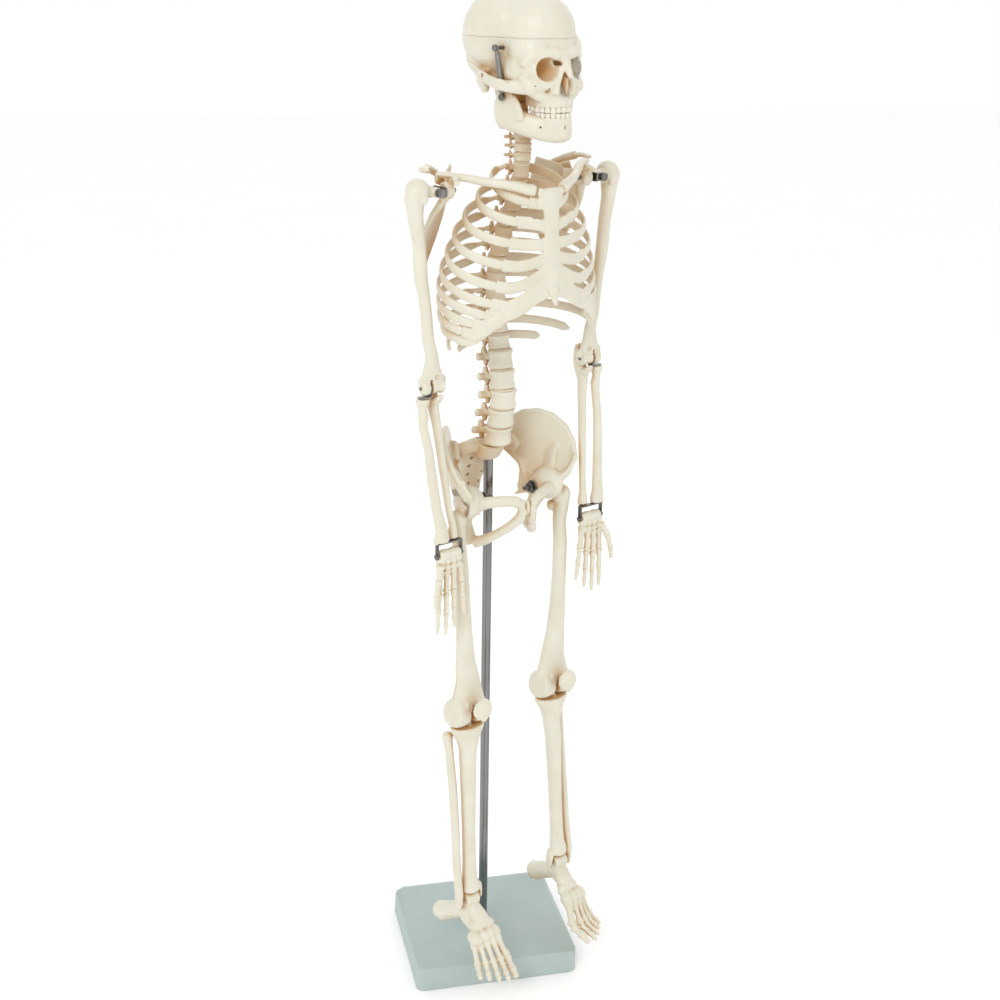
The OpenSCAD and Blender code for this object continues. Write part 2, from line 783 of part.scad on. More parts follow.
module foot() {
    a = ankle_c;
    heel = a + [4, 36, -31];
    arch = a + [-2, -20, -28];
    mtp_z = -45.5;
    mtp_x = [-11.5, -4.6, 1.6, 7.6, 13.4];
    mtp_y = [-37, -40, -38, -35, -31];
    tip_x = [-8.6, -0.4, 6.4, 12.6, 18];
    tip_y = [-57, -57.5, -53, -47, -41];
    root_x = [-8, -4, 0, 4.4, 9];
    color(bone)
    difference() {
        union() {
            x_rod(a, 7.4, 14);
            limb(a + [0, 0, -2], a + [-1, -11, -14], 6.6, 6);
            ball(a + [-1, -11, -14], 6.4);
            limb(a + [1, 4, -10], heel, 7, 7.4);
            ball(heel, 7.8);
            limb(a + [0, -2, -8], a + [3, -12, -22], 7, 5.4);
            limb(a + [-1, -11, -14], arch + [-2, 2, 6], 6.2, 5.2);
            limb(a + [3, -12, -22], arch + [6, 2, -2], 5.6, 4);
            for (i = [0 : 4])
                limb(arch + [root_x[i] * 0.8, 3, 5 - 1.6 * i], a + [mtp_x[i], mtp_y[i], mtp_z - 0.6 * i],
                    i == 0 ? 4 : 3, i == 0 ? 3.4 : 2.4);
            for (i = [0 : 4]) {
                mtp = a + [mtp_x[i], mtp_y[i], mtp_z - 0.6 * i];
                tip = a + [tip_x[i], tip_y[i], -53.6];
                r = i == 0 ? 3.6 : 2.6;
                ball(mtp, r * 1.08);
                limb(mtp, mix(mtp, tip, 0.55), r * 0.8, r * 0.74);
                ball(mix(mtp, tip, 0.55), r * 0.92);
                limb(mix(mtp, tip, 0.55), tip, r * 0.76, r * 0.66);
                ball(tip, r * 0.8);
            }
        }
        x_rod(a, ankle_pin_r + run_gap, 40);
    }
}

// ---- Head, in a frame at the foot of the skull on the neck's axis ----

module head() {
    translate([0, head_y, head_z])
    rotate([0, 0, head_yaw])
    children();
}

cap_z = 41;
cap_gap = 0.2;
cranium_c = [0, -3, 40];
cranium_half = 47.5;
jaw_c = [27, -4, 10];
spring_y = -14;
bite_z = -11;
top_screw = [36.6, spring_y, 34];
low_screw = [29.6, spring_y, -1];

// Egg outline of the braincase, turned about its long axis; t runs from the back to the brow
function egg(t, inset) = [
    (skull_r - inset) * sin(t) * (1 + 0.13 * cos(t)),
    (cranium_half - inset) * cos(t)];

module braincase() {
    outer = [for (t = [0 : 12 : 180]) egg(t, 0)];
    inner = [for (t = [180 : -12 : 0]) egg(t, skull_wall)];
    translate(cranium_c)
    rotate([-90, 0, 0])
    rotate_extrude($fn = 72)
    polygon(concat(outer, inner));
}

module skull_base() {
    color(bone)
    difference() {
        union() {
            difference() {
                braincase();
                translate([-100, -100, cap_z])
                cube([200, 200, 100]);
            }
            // Boss for the neck post
            z_rod([0, 0, 0.4], 6, 9);
            // Face: brow, upper jaw, nose, cheeks and cheek arches
            limb([0, -33, 26], [0, -36, 4], 17, 14.5);
            limb([0, -37.2, 4.2], [0, -37.2, -6.4], 14.5, 12.5);
            limb([0, -46, 27], [0, -52, 13], 2.6, 2.4);
            for (s = [-1, 1]) {
                limb([s * 5, -40, 24], [s * 24, -34, 25], 9, 6);
                limb([s * 12, -40, 8], [s * 26, -33, 9], 6.5, 4.6);
                bar([s * 26, -33, 9.4], [s * 36.4, -16, 10.5], 3.6, 1.9);
                bar([s * 36.4, -16, 10.5], [s * 33, 4, 13.5], 1.9, 2.6);
                limb([s * 29, 8, 16], [s * 26.4, 7, 1], 6, 2.6);
            }
        }
        for (s = [-1, 1]) {
            translate([s * 15.5, -56, 19.5])
            rotate([-90, 0, -s * 14])
            cylinder(h = 24, r1 = 9.6, r2 = 3);
            x_rod([s * 32, spring_y, top_screw[2]], screw_r + fix_gap, 12);
        }
        translate([0, -58, 5])
        rotate([-90, 0, 0])
        cylinder(h = 18, r1 = 6.4, r2 = 4);
        z_rod([0, 0, -2], neck_post_r + run_gap, 14);
    }
}

module skull_cap() {
    color(bone)
    difference() {
        braincase();
        translate([-100, -100, cap_z + cap_gap - 100])
        cube([200, 200, 100]);
    }
}

// Steel post in the top of the neck; the skull turns on it
module neck_post() {
    color(metal)
    translate([0, head_y, head_z - 13])
    union() {
        cylinder(h = 23, r = neck_post_r);
        translate([0, 0, 13 - disc_h])
        cylinder(h = disc_h, r = 4.4);
    }
}

module tooth_arch(z, h, r, y) {
    translate([0, y, z])
    difference() {
        union() {
            cylinder(h = h, r = r);
            translate([-r, 0, 0])
            cube([2 * r, 12, h]);
        }
        translate([0, 0, -1])
        cylinder(h = h + 2, r = r - 3.4);
        translate([3.4 - r, 0, -1])
        cube([2 * r - 6.8, 20, h + 2]);
    }
}

module upper_teeth() {
    color([0.96, 0.94, 0.88])
    tooth_arch(bite_z + 0.3, -6.8 - bite_z, 12.2, -38.6);
}

module lower_teeth() {
    color([0.96, 0.94, 0.88])
    tooth_arch(bite_z - 4.2, 4.1, 11.6, -38);
}

module mandible() {
    color(bone)
    difference() {
        union() {
            for (s = [-1, 1]) {
                x_rod([s * jaw_c[0], jaw_c[1], jaw_c[2]], 2.6, 2.8);
                loft([[[s * 27, -4.2, 9.4], 2.2, 1.3], [[s * 26.8, -6, 5], 3.4, 1.7],
                    [[s * 26, -10.5, 0], 7.2, 1.9], [[s * 25.2, -9.6, -10], 8.4, 2.3],
                    [[s * 24.4, -9, -18], 6.8, 2.4], [[s * 24, -9, -21], 4, 1.8]], [0, 1, 0], 12);
                bar([s * 26, -14.5, 0], [s * 26, -16, 6.5], 2.1, 1.3);
                bar([s * 24.4, -10, -16.4], [s * 12, -38, -24], 4.2, 6);
                limb([s * 24, -14, -16], [s * 11, -38, -18], 3, 3);
            }
            bar([-12, -38, -24], [0, -42.5, -25.5], 6, 6.6);
            bar([12, -38, -24], [0, -42.5, -25.5], 6, 6.6);
            translate([0, -38, bite_z - 9])
            difference() {
                cylinder(h = 4.8, r = 12);
                translate([0, 0, -1])
                cylinder(h = 8, r = 7.6);
                translate([-20, 0.01, -1])
                cube([40, 20, 8]);
            }
        }
        for (s = [-1, 1])
            x_rod([s * 27, spring_y, low_screw[2]], screw_r + fix_gap, 12);
        translate([-30, -60, bite_z - 4.2])
        cube([60, 38, 5]);
    }
}

spring_r = 2.1;

// Tension springs between the screw at each temple and the one on the jaw
module jaw_springs() {
    color(metal)
    for (s = [-1, 1])
        limb([s * low_screw[0], spring_y, low_screw[2] + 3.2], [s * top_screw[0], spring_y, top_screw[2] - 3.2],
            spring_r, spring_r);
}

module side_screw(s, at) {
    x_rod([s * (at[0] - 3), spring_y, at[2]], screw_r, 7.6);
    x_rod([s * (at[0] + 1.6), spring_y, at[2]], 2.5, 1.6);
}

module skull_screws() {
    color(metal)
    for (s = [-1, 1])
        side_screw(s, top_screw);
}

module jaw_screws() {
    color(metal)
    for (s = [-1, 1])
        side_screw(s, low_screw);
}

// ---- Pieces ----

base_shell();
base_bottom();
base_insert();
base_screws();
pole();
bones() socket_sleeve();
bones() sacrum();
bones() hip_bone();  // hip_bone_left
bones() right() hip_bone();  // hip_bone_right
bones() pubic_disc();
bones() lumbar_vertebrae();
bones() thoracic_vertebrae();
bones() neck_vertebrae();
bones() spinal_discs();
bones() ribs_left();
bones() right() ribs_left();  // ribs_right
bones() sternum();
bones() clavicle();  // clavicle_left
bones() right() clavicle();  // clavicle_right
bones() scapula();  // scapula_left
bones() right() scapula();  // scapula_right
bones() neck_post();
bones() head() skull_base();
bones() head() skull_cap();
bones() head() upper_teeth();
bones() head() mandible();
bones() head() lower_teeth();
bones() head() jaw_springs();
bones() head() skull_screws();
bones() head() jaw_screws();
bones() shoulder_bracket();  // shoulder_bracket_left
bones() humerus();  // humerus_left
bones() elbow_bracket();  // elbow_bracket_left
bones() ulna();  // ulna_left
bones() radius();  // radius_left
bones() wrist_bracket();  // wrist_bracket_left
bones() hand();  // hand_left
bones() right() shoulder_bracket();  // shoulder_bracket_right
bones() right() humerus();  // humerus_right
bones() right() elbow_bracket();  // elbow_bracket_right
bones() right() ulna();  // ulna_right
bones() right() radius();  // radius_right
bones() right() wrist_bracket();  // wrist_bracket_right
bones() right() hand();  // hand_right
bones() hip_bolt();  // hip_bolt_left
bones() femur();  // femur_left
bones() patella();  // patella_left
bones() knee_pin();  // knee_pin_left
bones() tibia();  // tibia_left
bones() fibula();  // fibula_left
bones() ankle_pin();  // ankle_pin_left
bones() foot();  // foot_left
bones() right() hip_bolt();  // hip_bolt_right
bones() right() femur();  // femur_right
bones() right() patella();  // patella_right
bones() right() knee_pin();  // knee_pin_right
bones() right() tibia();  // tibia_right
bones() right() fibula();  // fibula_right
bones() right() ankle_pin();  // ankle_pin_right
bones() right() foot();  // foot_right
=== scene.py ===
"""Small classroom skeleton on a pole stand: ivory plastic bones, steel fittings, grey-blue base."""
import json
import math

import bmesh
import bpy
from mathutils import Matrix, Vector


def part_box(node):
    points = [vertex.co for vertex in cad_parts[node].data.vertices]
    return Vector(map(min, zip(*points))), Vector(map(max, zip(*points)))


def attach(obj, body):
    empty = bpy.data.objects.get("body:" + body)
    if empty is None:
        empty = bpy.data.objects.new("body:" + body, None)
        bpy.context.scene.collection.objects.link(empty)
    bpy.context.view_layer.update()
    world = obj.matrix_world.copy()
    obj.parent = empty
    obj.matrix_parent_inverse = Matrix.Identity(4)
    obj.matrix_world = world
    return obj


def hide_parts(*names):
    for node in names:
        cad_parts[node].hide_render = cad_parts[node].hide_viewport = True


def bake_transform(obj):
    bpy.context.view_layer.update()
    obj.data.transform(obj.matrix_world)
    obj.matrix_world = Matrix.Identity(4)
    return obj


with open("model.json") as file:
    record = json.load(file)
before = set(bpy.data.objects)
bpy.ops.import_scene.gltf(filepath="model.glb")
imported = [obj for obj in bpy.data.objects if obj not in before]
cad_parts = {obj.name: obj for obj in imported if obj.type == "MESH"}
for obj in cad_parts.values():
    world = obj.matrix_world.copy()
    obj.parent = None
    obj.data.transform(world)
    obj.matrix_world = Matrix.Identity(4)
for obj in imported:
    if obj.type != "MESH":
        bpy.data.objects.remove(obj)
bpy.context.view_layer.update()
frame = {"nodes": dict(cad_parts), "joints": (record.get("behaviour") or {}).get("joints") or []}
nodes = frame["nodes"]
bpy.ops.object.select_all(action="DESELECT")

# ---- Stand -------------------------------------------------------------------------------
# The base is one injection moulding in grey-blue plastic with a faint speckle, rounded
# edges and a slight taper. A dark bottom plate closes it, and the pole screws into it.

MM = 0.001


def new_material(name):
    material = bpy.data.materials.new(name)
    material.use_nodes = True
    return material, material.node_tree.nodes, material.node_tree.links


def new_group(name, inputs, outputs):
    """An empty node group with float or colour sockets, and its input and output nodes."""
    group = bpy.data.node_groups.new(name, "ShaderNodeTree")
    for title, kind, value in inputs:
        socket = group.interface.new_socket(title, in_out="INPUT", socket_type=kind)
        socket.default_value = value
    for title, kind in outputs:
        group.interface.new_socket(title, in_out="OUTPUT", socket_type=kind)
    return group, group.nodes.new("NodeGroupInput"), group.nodes.new("NodeGroupOutput")


def math_node(tree, kind, a, b=None):
    node = tree.nodes.new("ShaderNodeMath")
    node.operation = kind
    node.use_clamp = kind in ("MULTIPLY_ADD", "ADD")
    for socket, value in zip(node.inputs, (a, b)):
        if value is None:
            continue
        if isinstance(value, (int, float)):
            socket.default_value = value
        else:
            tree.links.new(value, socket)
    return node.outputs[0]


def ramp(tree, value, stops):
    """Grey ramp of value through (place, level) stops."""
    node = tree.nodes.new("ShaderNodeValToRGB")
    node.color_ramp.elements[0].position = stops[0][0]
    node.color_ramp.elements[0].color = (stops[0][1],) * 3 + (1,)
    node.color_ramp.elements[1].position = stops[1][0]
    node.color_ramp.elements[1].color = (stops[1][1],) * 3 + (1,)
    tree.links.new(value, node.inputs[0])
    return node.outputs[0]


def noise(tree, scale, detail=3.0, place=None):
    node = tree.nodes.new("ShaderNodeTexNoise")
    node.inputs["Scale"].default_value = scale
    node.inputs["Detail"].default_value = detail
    if place is not None:
        tree.links.new(place, node.inputs["Vector"])
    return node.outputs["Fac"]


def mottle_group():
    """Soft change of tone that a moulding has from flow and handling: 0 to 1 over the surface."""
    group, into, out = new_group("moulding_mottle", [("Scale", "NodeSocketFloat", 60.0)],
                                 [("Mask", "NodeSocketFloat"), ("Fine", "NodeSocketFloat")])
    place = group.nodes.new("ShaderNodeTexCoord").outputs["Object"]
    wide = group.nodes.new("ShaderNodeTexNoise")
    wide.inputs["Detail"].default_value = 4.0
    fine = group.nodes.new("ShaderNodeTexNoise")
    fine.inputs["Detail"].default_value = 2.0
    group.links.new(place, wide.inputs["Vector"])
    group.links.new(place, fine.inputs["Vector"])
    group.links.new(into.outputs["Scale"], wide.inputs["Scale"])
    group.links.new(math_node(group, "MULTIPLY", into.outputs["Scale"], 22.0), fine.inputs["Scale"])
    group.links.new(ramp(group, wide.outputs["Fac"], [(0.35, 0.0), (0.68, 1.0)]), out.inputs["Mask"])
    group.links.new(fine.outputs["Fac"], out.inputs["Fine"])
    return group


def edge_group():
    """Masks of sharp edges and of hollows, from how sharply the surface turns; the hollows mask lays painted shade in
    the creases.
    """
    group, into, out = new_group("edge_and_painted_hollow_shade", [("Amount", "NodeSocketFloat", 1.0)],
                                 [("Edges", "NodeSocketFloat"), ("Hollows", "NodeSocketFloat")])
    turn = group.nodes.new("ShaderNodeNewGeometry").outputs["Pointiness"]
    edges = ramp(group, turn, [(0.515, 0.0), (0.58, 1.0)])
    hollows = ramp(group, turn, [(0.44, 1.0), (0.492, 0.0)])
    group.links.new(math_node(group, "MULTIPLY", edges, into.outputs["Amount"]), out.inputs["Edges"])
    group.links.new(math_node(group, "MULTIPLY", hollows, into.outputs["Amount"]), out.inputs["Hollows"])
    return group


mottle = mottle_group()
edge_and_painted_hollow_shade = edge_group()


def use_group(tree, group, **values):
    node = tree.nodes.new("ShaderNodeGroup")
    node.node_tree = group
    for title, value in values.items():
        node.inputs[title].default_value = value
    return node


def mix_colour(tree, mask, a, b):
    node = tree.nodes.new("ShaderNodeMix")
    node.data_type = "RGBA"
    tree.links.new(mask, node.inputs["Factor"])
    for socket, value in ((node.inputs["A"], a), (node.inputs["B"], b)):
        if isinstance(value, tuple):
            socket.default_value = value + (1,)
        else:
            tree.links.new(value, socket)
    return node.outputs["Result"]


def between(tree, mask, low, high):
    """low where mask is 0 and high where it is 1."""
    node = tree.nodes.new("ShaderNodeMapRange")
    node.inputs["To Min"].default_value = low
    node.inputs["To Max"].default_value = high
    tree.links.new(mask, node.inputs["Value"])
    return node.outputs["Result"]


def bump(tree, height, strength, distance):
    node = tree.nodes.new("ShaderNodeBump")
    node.inputs["Strength"].default_value = strength
    node.inputs["Distance"].default_value = distance
    tree.links.new(height, node.inputs["Height"])
    return node.outputs["Normal"]


def stand_plastic():
    material, shader_nodes, links = new_material("stand_plastic")
    tree, shader = material.node_tree, shader_nodes["Principled BSDF"]
    soft = use_group(tree, mottle, Scale=28.0)
    edge_and_hollow_masks = use_group(tree, edge_and_painted_hollow_shade, Amount=0.5)
    specks = tree.nodes.new("ShaderNodeTexVoronoi")
    specks.inputs["Scale"].default_value = 700.0
    links.new(tree.nodes.new("ShaderNodeTexCoord").outputs["Object"], specks.inputs["Vector"])
    dots = ramp(tree, specks.outputs["Distance"], [(0.06, 1.0), (0.22, 0.0)])
    body = mix_colour(tree, soft.outputs["Mask"], (0.345, 0.425, 0.41), (0.385, 0.46, 0.44))
    body = mix_colour(tree, between(tree, dots, 0.0, 0.35), body, (0.27, 0.37, 0.38))
    body = mix_colour(tree, edge_and_hollow_masks.outputs["Edges"], body, (0.60, 0.68, 0.67))
    links.new(body, shader.inputs["Base Color"])
    links.new(between(tree, soft.outputs["Mask"], 0.44, 0.56), shader.inputs["Roughness"])
    links.new(bump(tree, soft.outputs["Fine"], 0.12, 0.0004), shader.inputs["Normal"])
    return material


def stand_underside():
    material, shader_nodes, links = new_material("stand_underside")
    tree, shader = material.node_tree, shader_nodes["Principled BSDF"]
    soft = use_group(tree, mottle, Scale=40.0)
    links.new(mix_colour(tree, soft.outputs["Mask"], (0.10, 0.115, 0.12), (0.15, 0.165, 0.17)),
              shader.inputs["Base Color"])
    links.new(between(tree, soft.outputs["Fine"], 0.6, 0.8), shader.inputs["Roughness"])
    links.new(bump(tree, soft.outputs["Fine"], 0.3, 0.0005), shader.inputs["Normal"])
    return material


def steel(name, bright, dark, rough_low, rough_high, scale, streak):
    """Turned or drawn steel: drawn streaks along Z where streak is over 1, lighter sharp edges, and painted shade
    darkening the hollows.
    """
    material, shader_nodes, links = new_material(name)
    tree, shader = material.node_tree, shader_nodes["Principled BSDF"]
    place = tree.nodes.new("ShaderNodeTexCoord").outputs["Object"]
    mapping = tree.nodes.new("ShaderNodeMapping")
    mapping.inputs["Scale"].default_value = (1, 1, 1 / streak)
    links.new(place, mapping.inputs["Vector"])
    grain = noise(tree, scale, 4.0, mapping.outputs["Vector"])
    edge_and_hollow_masks = use_group(tree, edge_and_painted_hollow_shade, Amount=1.0)
    body = mix_colour(tree, grain, dark, bright)
    body = mix_colour(tree, edge_and_hollow_masks.outputs["Edges"], body, tuple(min(1.0, c * 1.25) for c in bright))
    # painted shade: the hollows are darkened to about a third of the dark tone
    body = mix_colour(tree, edge_and_hollow_masks.outputs["Hollows"], body, tuple(c * 0.35 for c in dark))
    links.new(body, shader.inputs["Base Color"])
    shader.inputs["Metallic"].default_value = 1.0
    links.new(between(tree, grain, rough_low, rough_high), shader.inputs["Roughness"])
    links.new(bump(tree, grain, 0.08, 0.0002), shader.inputs["Normal"])
    return material


def dress(piece, material):
    piece.data.materials.clear()
    piece.data.materials.append(material)


def soften_edges(piece, width):
    """Breaks the sharp edges of a CAD fitting, as tumbling does, without touching its mesh."""
    weld = piece.modifiers.new("weld", "WELD")
    weld.merge_threshold = 0.00001
    bevel = piece.modifiers.new("broken_edges", "BEVEL")
    bevel.width = width
    bevel.segments = 2
    bevel.limit_method = "ANGLE"
    bevel.angle_limit = math.radians(40)
    bevel.use_clamp_overlap = True


def dress_fitting(name, material, width=0.00025):
    piece = nodes[name]
    dress(piece, material)
    soften_edges(piece, width)


def choose(mesh, faces=None, edges=None):
    """In edit mode, selects the faces or edges for which the rule is true."""
    bpy.ops.mesh.select_all(action="DESELECT")
    shape = bmesh.from_edit_mesh(mesh)
    if faces is not None:
        for face in shape.faces:
            face.select_set(faces(face))
    if edges is not None:
        for edge in shape.edges:
            if edges(edge):
                edge.select_set(True)
    bmesh.update_edit_mesh(mesh)


def make_base():
    low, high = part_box("base_shell")
    size, middle = high - low, (low + high) / 2
    corner, top_edge, taper, plate_rim, plate_depth = 7 * MM, 2.2 * MM, 0.9 * MM, 3 * MM, 2 * MM
    bpy.ops.mesh.primitive_cube_add(size=1, location=middle, scale=size)
    piece = bpy.context.object
    piece.name = "moulded_base"
    bpy.ops.object.transform_apply(location=True, rotation=True, scale=True)
    bpy.ops.object.mode_set(mode="EDIT")
    mesh = piece.data
    choose(mesh, edges=lambda e: abs((e.verts[0].co - e.verts[1].co).normalized().z) > 0.9)
    bpy.ops.mesh.bevel(offset=corner, segments=8, affect="EDGES")
    choose(mesh, faces=lambda f: f.normal.z > 0.9)
    bpy.ops.transform.resize(value=(1 - 2 * taper / size.x, 1 - 2 * taper / size.y, 1))
    bpy.ops.mesh.bevel(offset=top_edge, segments=5, affect="EDGES")
    # the underside has a rim, and the bottom plate lies inside it
    choose(mesh, faces=lambda f: f.normal.z < -0.9)
    bpy.ops.mesh.inset(thickness=plate_rim, depth=0)
    bpy.ops.mesh.extrude_region_move(TRANSFORM_OT_translate={"value": (0, 0, plate_depth)})
    choose(mesh, edges=lambda e: e.is_manifold and abs(e.calc_face_angle(0)) > 1.2
           and max(v.co.z for v in e.verts) < low.z + 0.0001)
    bpy.ops.mesh.bevel(offset=0.6 * MM, segments=2, affect="EDGES")
    bpy.ops.mesh.select_all(action="SELECT")
    bpy.ops.mesh.normals_make_consistent(inside=False)
    bpy.ops.object.mode_set(mode="OBJECT")
    bpy.ops.object.shade_smooth_by_angle(angle=math.radians(35))
    dress(piece, stand_plastic())
    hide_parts("base_shell")
    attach(piece, "stand")
    return piece


make_base()
dress_fitting("base_bottom", stand_underside())
chrome = steel("chromed_tube", (0.24, 0.24, 0.24), (0.10, 0.10, 0.105), 0.10, 0.2, 900.0, 60.0)
dark_steel = steel("dark_steel", (0.20, 0.195, 0.185), (0.075, 0.073, 0.07), 0.22, 0.40, 1500.0, 1.0)
dress_fitting("pole", chrome, 0.0004)
dress_fitting("socket_sleeve", dark_steel)
dress_fitting("base_insert", dark_steel)
dress_fitting("base_screws", dark_steel)

# ---- Spine -------------------------------------------------------------------------------
# Each vertebra is a small ivory moulding with a waisted body, an arch and three processes.
# They are threaded in a column with softer discs between, and glued.

# The bones are laid out in the skeleton's own frame, in millimetres: its left is +X, its
# front is -Y and z = 0 is the pole's shoulder. The joints say where that frame stands.
joints = {j["name"]: j for j in frame["joints"]}
side_axis = Vector(joints["hip_swing_left"]["axis"])
side_axis = side_axis if side_axis.x > 0 else -side_axis
body_turn = math.atan2(side_axis.y, side_axis.x)
pole_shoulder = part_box("socket_sleeve")[0].z
skeleton = (Matrix.Translation((0, 0, pole_shoulder)) @ Matrix.Rotation(body_turn, 4, "Z")
            @ Matrix.Scale(MM, 4))
to_bones = skeleton.inverted()


def joint_place(name):
    return to_bones @ Vector(joints[name]["pos_m"])


def mix(a, b, t):
    return a + (b - a) * t


def V(*c):
    return Vector(c)


def start_bone(name):
    """An empty mesh, open in edit mode, for the strands of one bone."""
    bpy.ops.object.select_all(action="DESELECT")
    piece = bpy.data.objects.new(name, bpy.data.meshes.new(name))
    bpy.context.scene.collection.objects.link(piece)
    bpy.context.view_layer.objects.active = piece
    piece.select_set(True)
    bpy.ops.object.mode_set(mode="EDIT")
    return piece


def ring_frame(points, i, side):
    along = (points[min(i + 1, len(points) - 1)] - points[max(i - 1, 0)]).normalized()
    e1 = (side - along * side.dot(along))
    if e1.length < 1e-4:
        e1 = along.orthogonal()
    e1.normalize()
    return e1, along.cross(e1)


def strand(stations, side=(1, 0, 0), corners=12):
    """A rod through stations (point, half width along side, half thickness): a disc that is
    extruded from station to station, with its ring set to each station's oval."""
    mesh = bpy.context.object.data
    points = [Vector(s[0]) for s in stations]
    side = Vector(side)
    bpy.ops.mesh.select_all(action="DESELECT")
    bpy.ops.mesh.primitive_circle_add(vertices=corners, radius=stations[0][1], fill_type="NGON",
                                      location=points[0])
    shape = bmesh.from_edit_mesh(mesh)
    number = shape.verts.layers.int.get("number") or shape.verts.layers.int.new("number")
    for i, v in enumerate([v for v in shape.verts if v.select]):
        v[number] = i
    for i, (_, wide, thick) in enumerate(stations):
        if i:
            bpy.ops.mesh.extrude_region_move()
            shape = bmesh.from_edit_mesh(mesh)
            number = shape.verts.layers.int.get("number")
        e1, e2 = ring_frame(points, i, side)
        for v in shape.verts:
            if v.select:
                a = 2 * math.pi * v[number] / corners
                v.co = points[i] + e1 * (wide * math.cos(a)) + e2 * (thick * math.sin(a))
    bmesh.update_edit_mesh(mesh)


def bar(p, q, rp, rq, corners=12):
    strand([(p, rp, rp), (q, rq, rq)], corners=corners)


def knob(at, radii):
    bpy.ops.mesh.select_all(action="DESELECT")
    bpy.ops.mesh.primitive_uv_sphere_add(segments=20, ring_count=14, radius=1, location=at,
                                         scale=radii if hasattr(radii, "__len__") else (radii,) * 3)


def blade(rows, thickness):
    """A thin sheet through rows of points: a grid, laid over them and given its thickness."""
    mesh = bpy.context.object.data
    bpy.ops.mesh.select_all(action="DESELECT")
    across, along = len(rows[0]), len(rows)
    bpy.ops.mesh.primitive_grid_add(x_subdivisions=across - 1, y_subdivisions=along - 1, size=2)
    shape = bmesh.from_edit_mesh(mesh)
    for v in shape.verts:
        if v.select:
            i = round((v.co.x + 1) / 2 * (across - 1))
            j = round((v.co.y + 1) / 2 * (along - 1))
            v.co = rows[j][i]
    bmesh.update_edit_mesh(mesh)
    bpy.ops.mesh.normals_make_consistent(inside=False)
    bpy.ops.mesh.solidify(thickness=thickness)


def apply_modifier(piece, kind, **settings):
    bpy.ops.object.select_all(action="DESELECT")
    bpy.context.view_layer.objects.active = piece
    piece.select_set(True)
    modifier = piece.modifiers.new(kind.lower(), kind)
    for key, value in settings.items():
        setattr(modifier, key, value)
    bpy.ops.object.modifier_apply(modifier=modifier.name)


def fuse(piece, grain, smooth=6, strength=0.5):
    """Runs the strands of a bone together into one skin, as the mould does, and eases it."""
    if bpy.context.mode != "OBJECT":
        bpy.ops.object.mode_set(mode="OBJECT")
    apply_modifier(piece, "REMESH", mode="VOXEL", voxel_size=grain, adaptivity=0)
    if smooth:
        apply_modifier(piece, "SMOOTH", factor=strength, iterations=smooth)


def carve(piece, cutter):
    """Takes the cutter's shape out of the bone, and does away with the cutter."""
    if bpy.context.mode != "OBJECT":
        bpy.ops.object.mode_set(mode="OBJECT")
    apply_modifier(piece, "BOOLEAN", operation="DIFFERENCE", object=cutter, solver="MANIFOLD")
    bpy.data.objects.remove(cutter)


def set_in_place(piece, place, material, slot, body, *stands_for):
    """Puts a finished bone where it belongs, gives it its finish and fixes it to its body."""
    if bpy.context.mode != "OBJECT":
        bpy.ops.object.mode_set(mode="OBJECT")
    piece.data.transform(place)
    if place.determinant() < 0:
        piece.data.flip_normals()
    for polygon in piece.data.polygons:
        polygon.use_smooth = True
    piece.data.update()
    dress(piece, material)
    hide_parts(*stands_for)
    if body:
        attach(piece, body)
    return piece


def copied(piece, name):
    """A copy with its own mesh."""
    twin = piece.copy()
    twin.data = piece.data.copy()
    twin.name = name
    bpy.context.scene.collection.objects.link(twin)
    return twin


def joined(pieces, name):
    bpy.ops.object.select_all(action="DESELECT")
    for piece in pieces:
        piece.select_set(True)
    bpy.context.view_layer.objects.active = pieces[0]
    bpy.ops.object.join()
    pieces[0].name = name
    return pieces[0]


def plastic(name, light, dark, hollow, rough_low, rough_high, scale, glow):
    """Moulded plastic that lets a little light in: lighter on sharp edges, with warm painted shade laid in the hollows.
    """
    material, shader_nodes, links = new_material(name)
    tree, shader = material.node_tree, shader_nodes["Principled BSDF"]
    soft = use_group(tree, mottle, Scale=scale)
    edge_and_hollow_masks = use_group(tree, edge_and_painted_hollow_shade, Amount=0.8)
    # painted shade: an occlusion mask and the crease mask tint the hollows with the warm hollow colour
    shade = tree.nodes.new("ShaderNodeAmbientOcclusion")
    shade.samples = 8
    shade.inputs["Distance"].default_value = 0.075
    closed = ramp(tree, shade.outputs["AO"], [(0.20, 1.0), (0.80, 0.0)])
    body = mix_colour(tree, soft.outputs["Mask"], light, dark)
    body = mix_colour(tree, closed, body, hollow)
    body = mix_colour(tree, between(tree, edge_and_hollow_masks.outputs["Hollows"], 0.0, 0.45), body, hollow)
    body = mix_colour(tree, between(tree, edge_and_hollow_masks.outputs["Edges"], 0.0, 0.6), body,
                      tuple(min(1.0, c * 1.06) for c in light))
    links.new(body, shader.inputs["Base Color"])
    links.new(between(tree, soft.outputs["Mask"], rough_low, rough_high), shader.inputs["Roughness"])
    links.new(bump(tree, soft.outputs["Fine"], 0.10, 0.0003), shader.inputs["Normal"])
    shader.inputs["Subsurface Weight"].default_value = glow
    shader.inputs["Subsurface Radius"].default_value = (1.0, 0.55, 0.28)
    shader.inputs["Subsurface Scale"].default_value = 0.0022
    shader.inputs["IOR"].default_value = 1.47
    return material


# the third colour of each plastic is the warm painted shade laid in its hollows
ivory = plastic("ivory_plastic", (0.685, 0.66, 0.555), (0.64, 0.61, 0.49), (0.60, 0.36, 0.14),
                0.30, 0.42, 45.0, 0.2)
gristle_plastic = plastic("soft_disc_plastic", (0.66, 0.615, 0.49), (0.60, 0.545, 0.415),
                          (0.50, 0.31, 0.14), 0.42, 0.56, 90.0, 0.2)

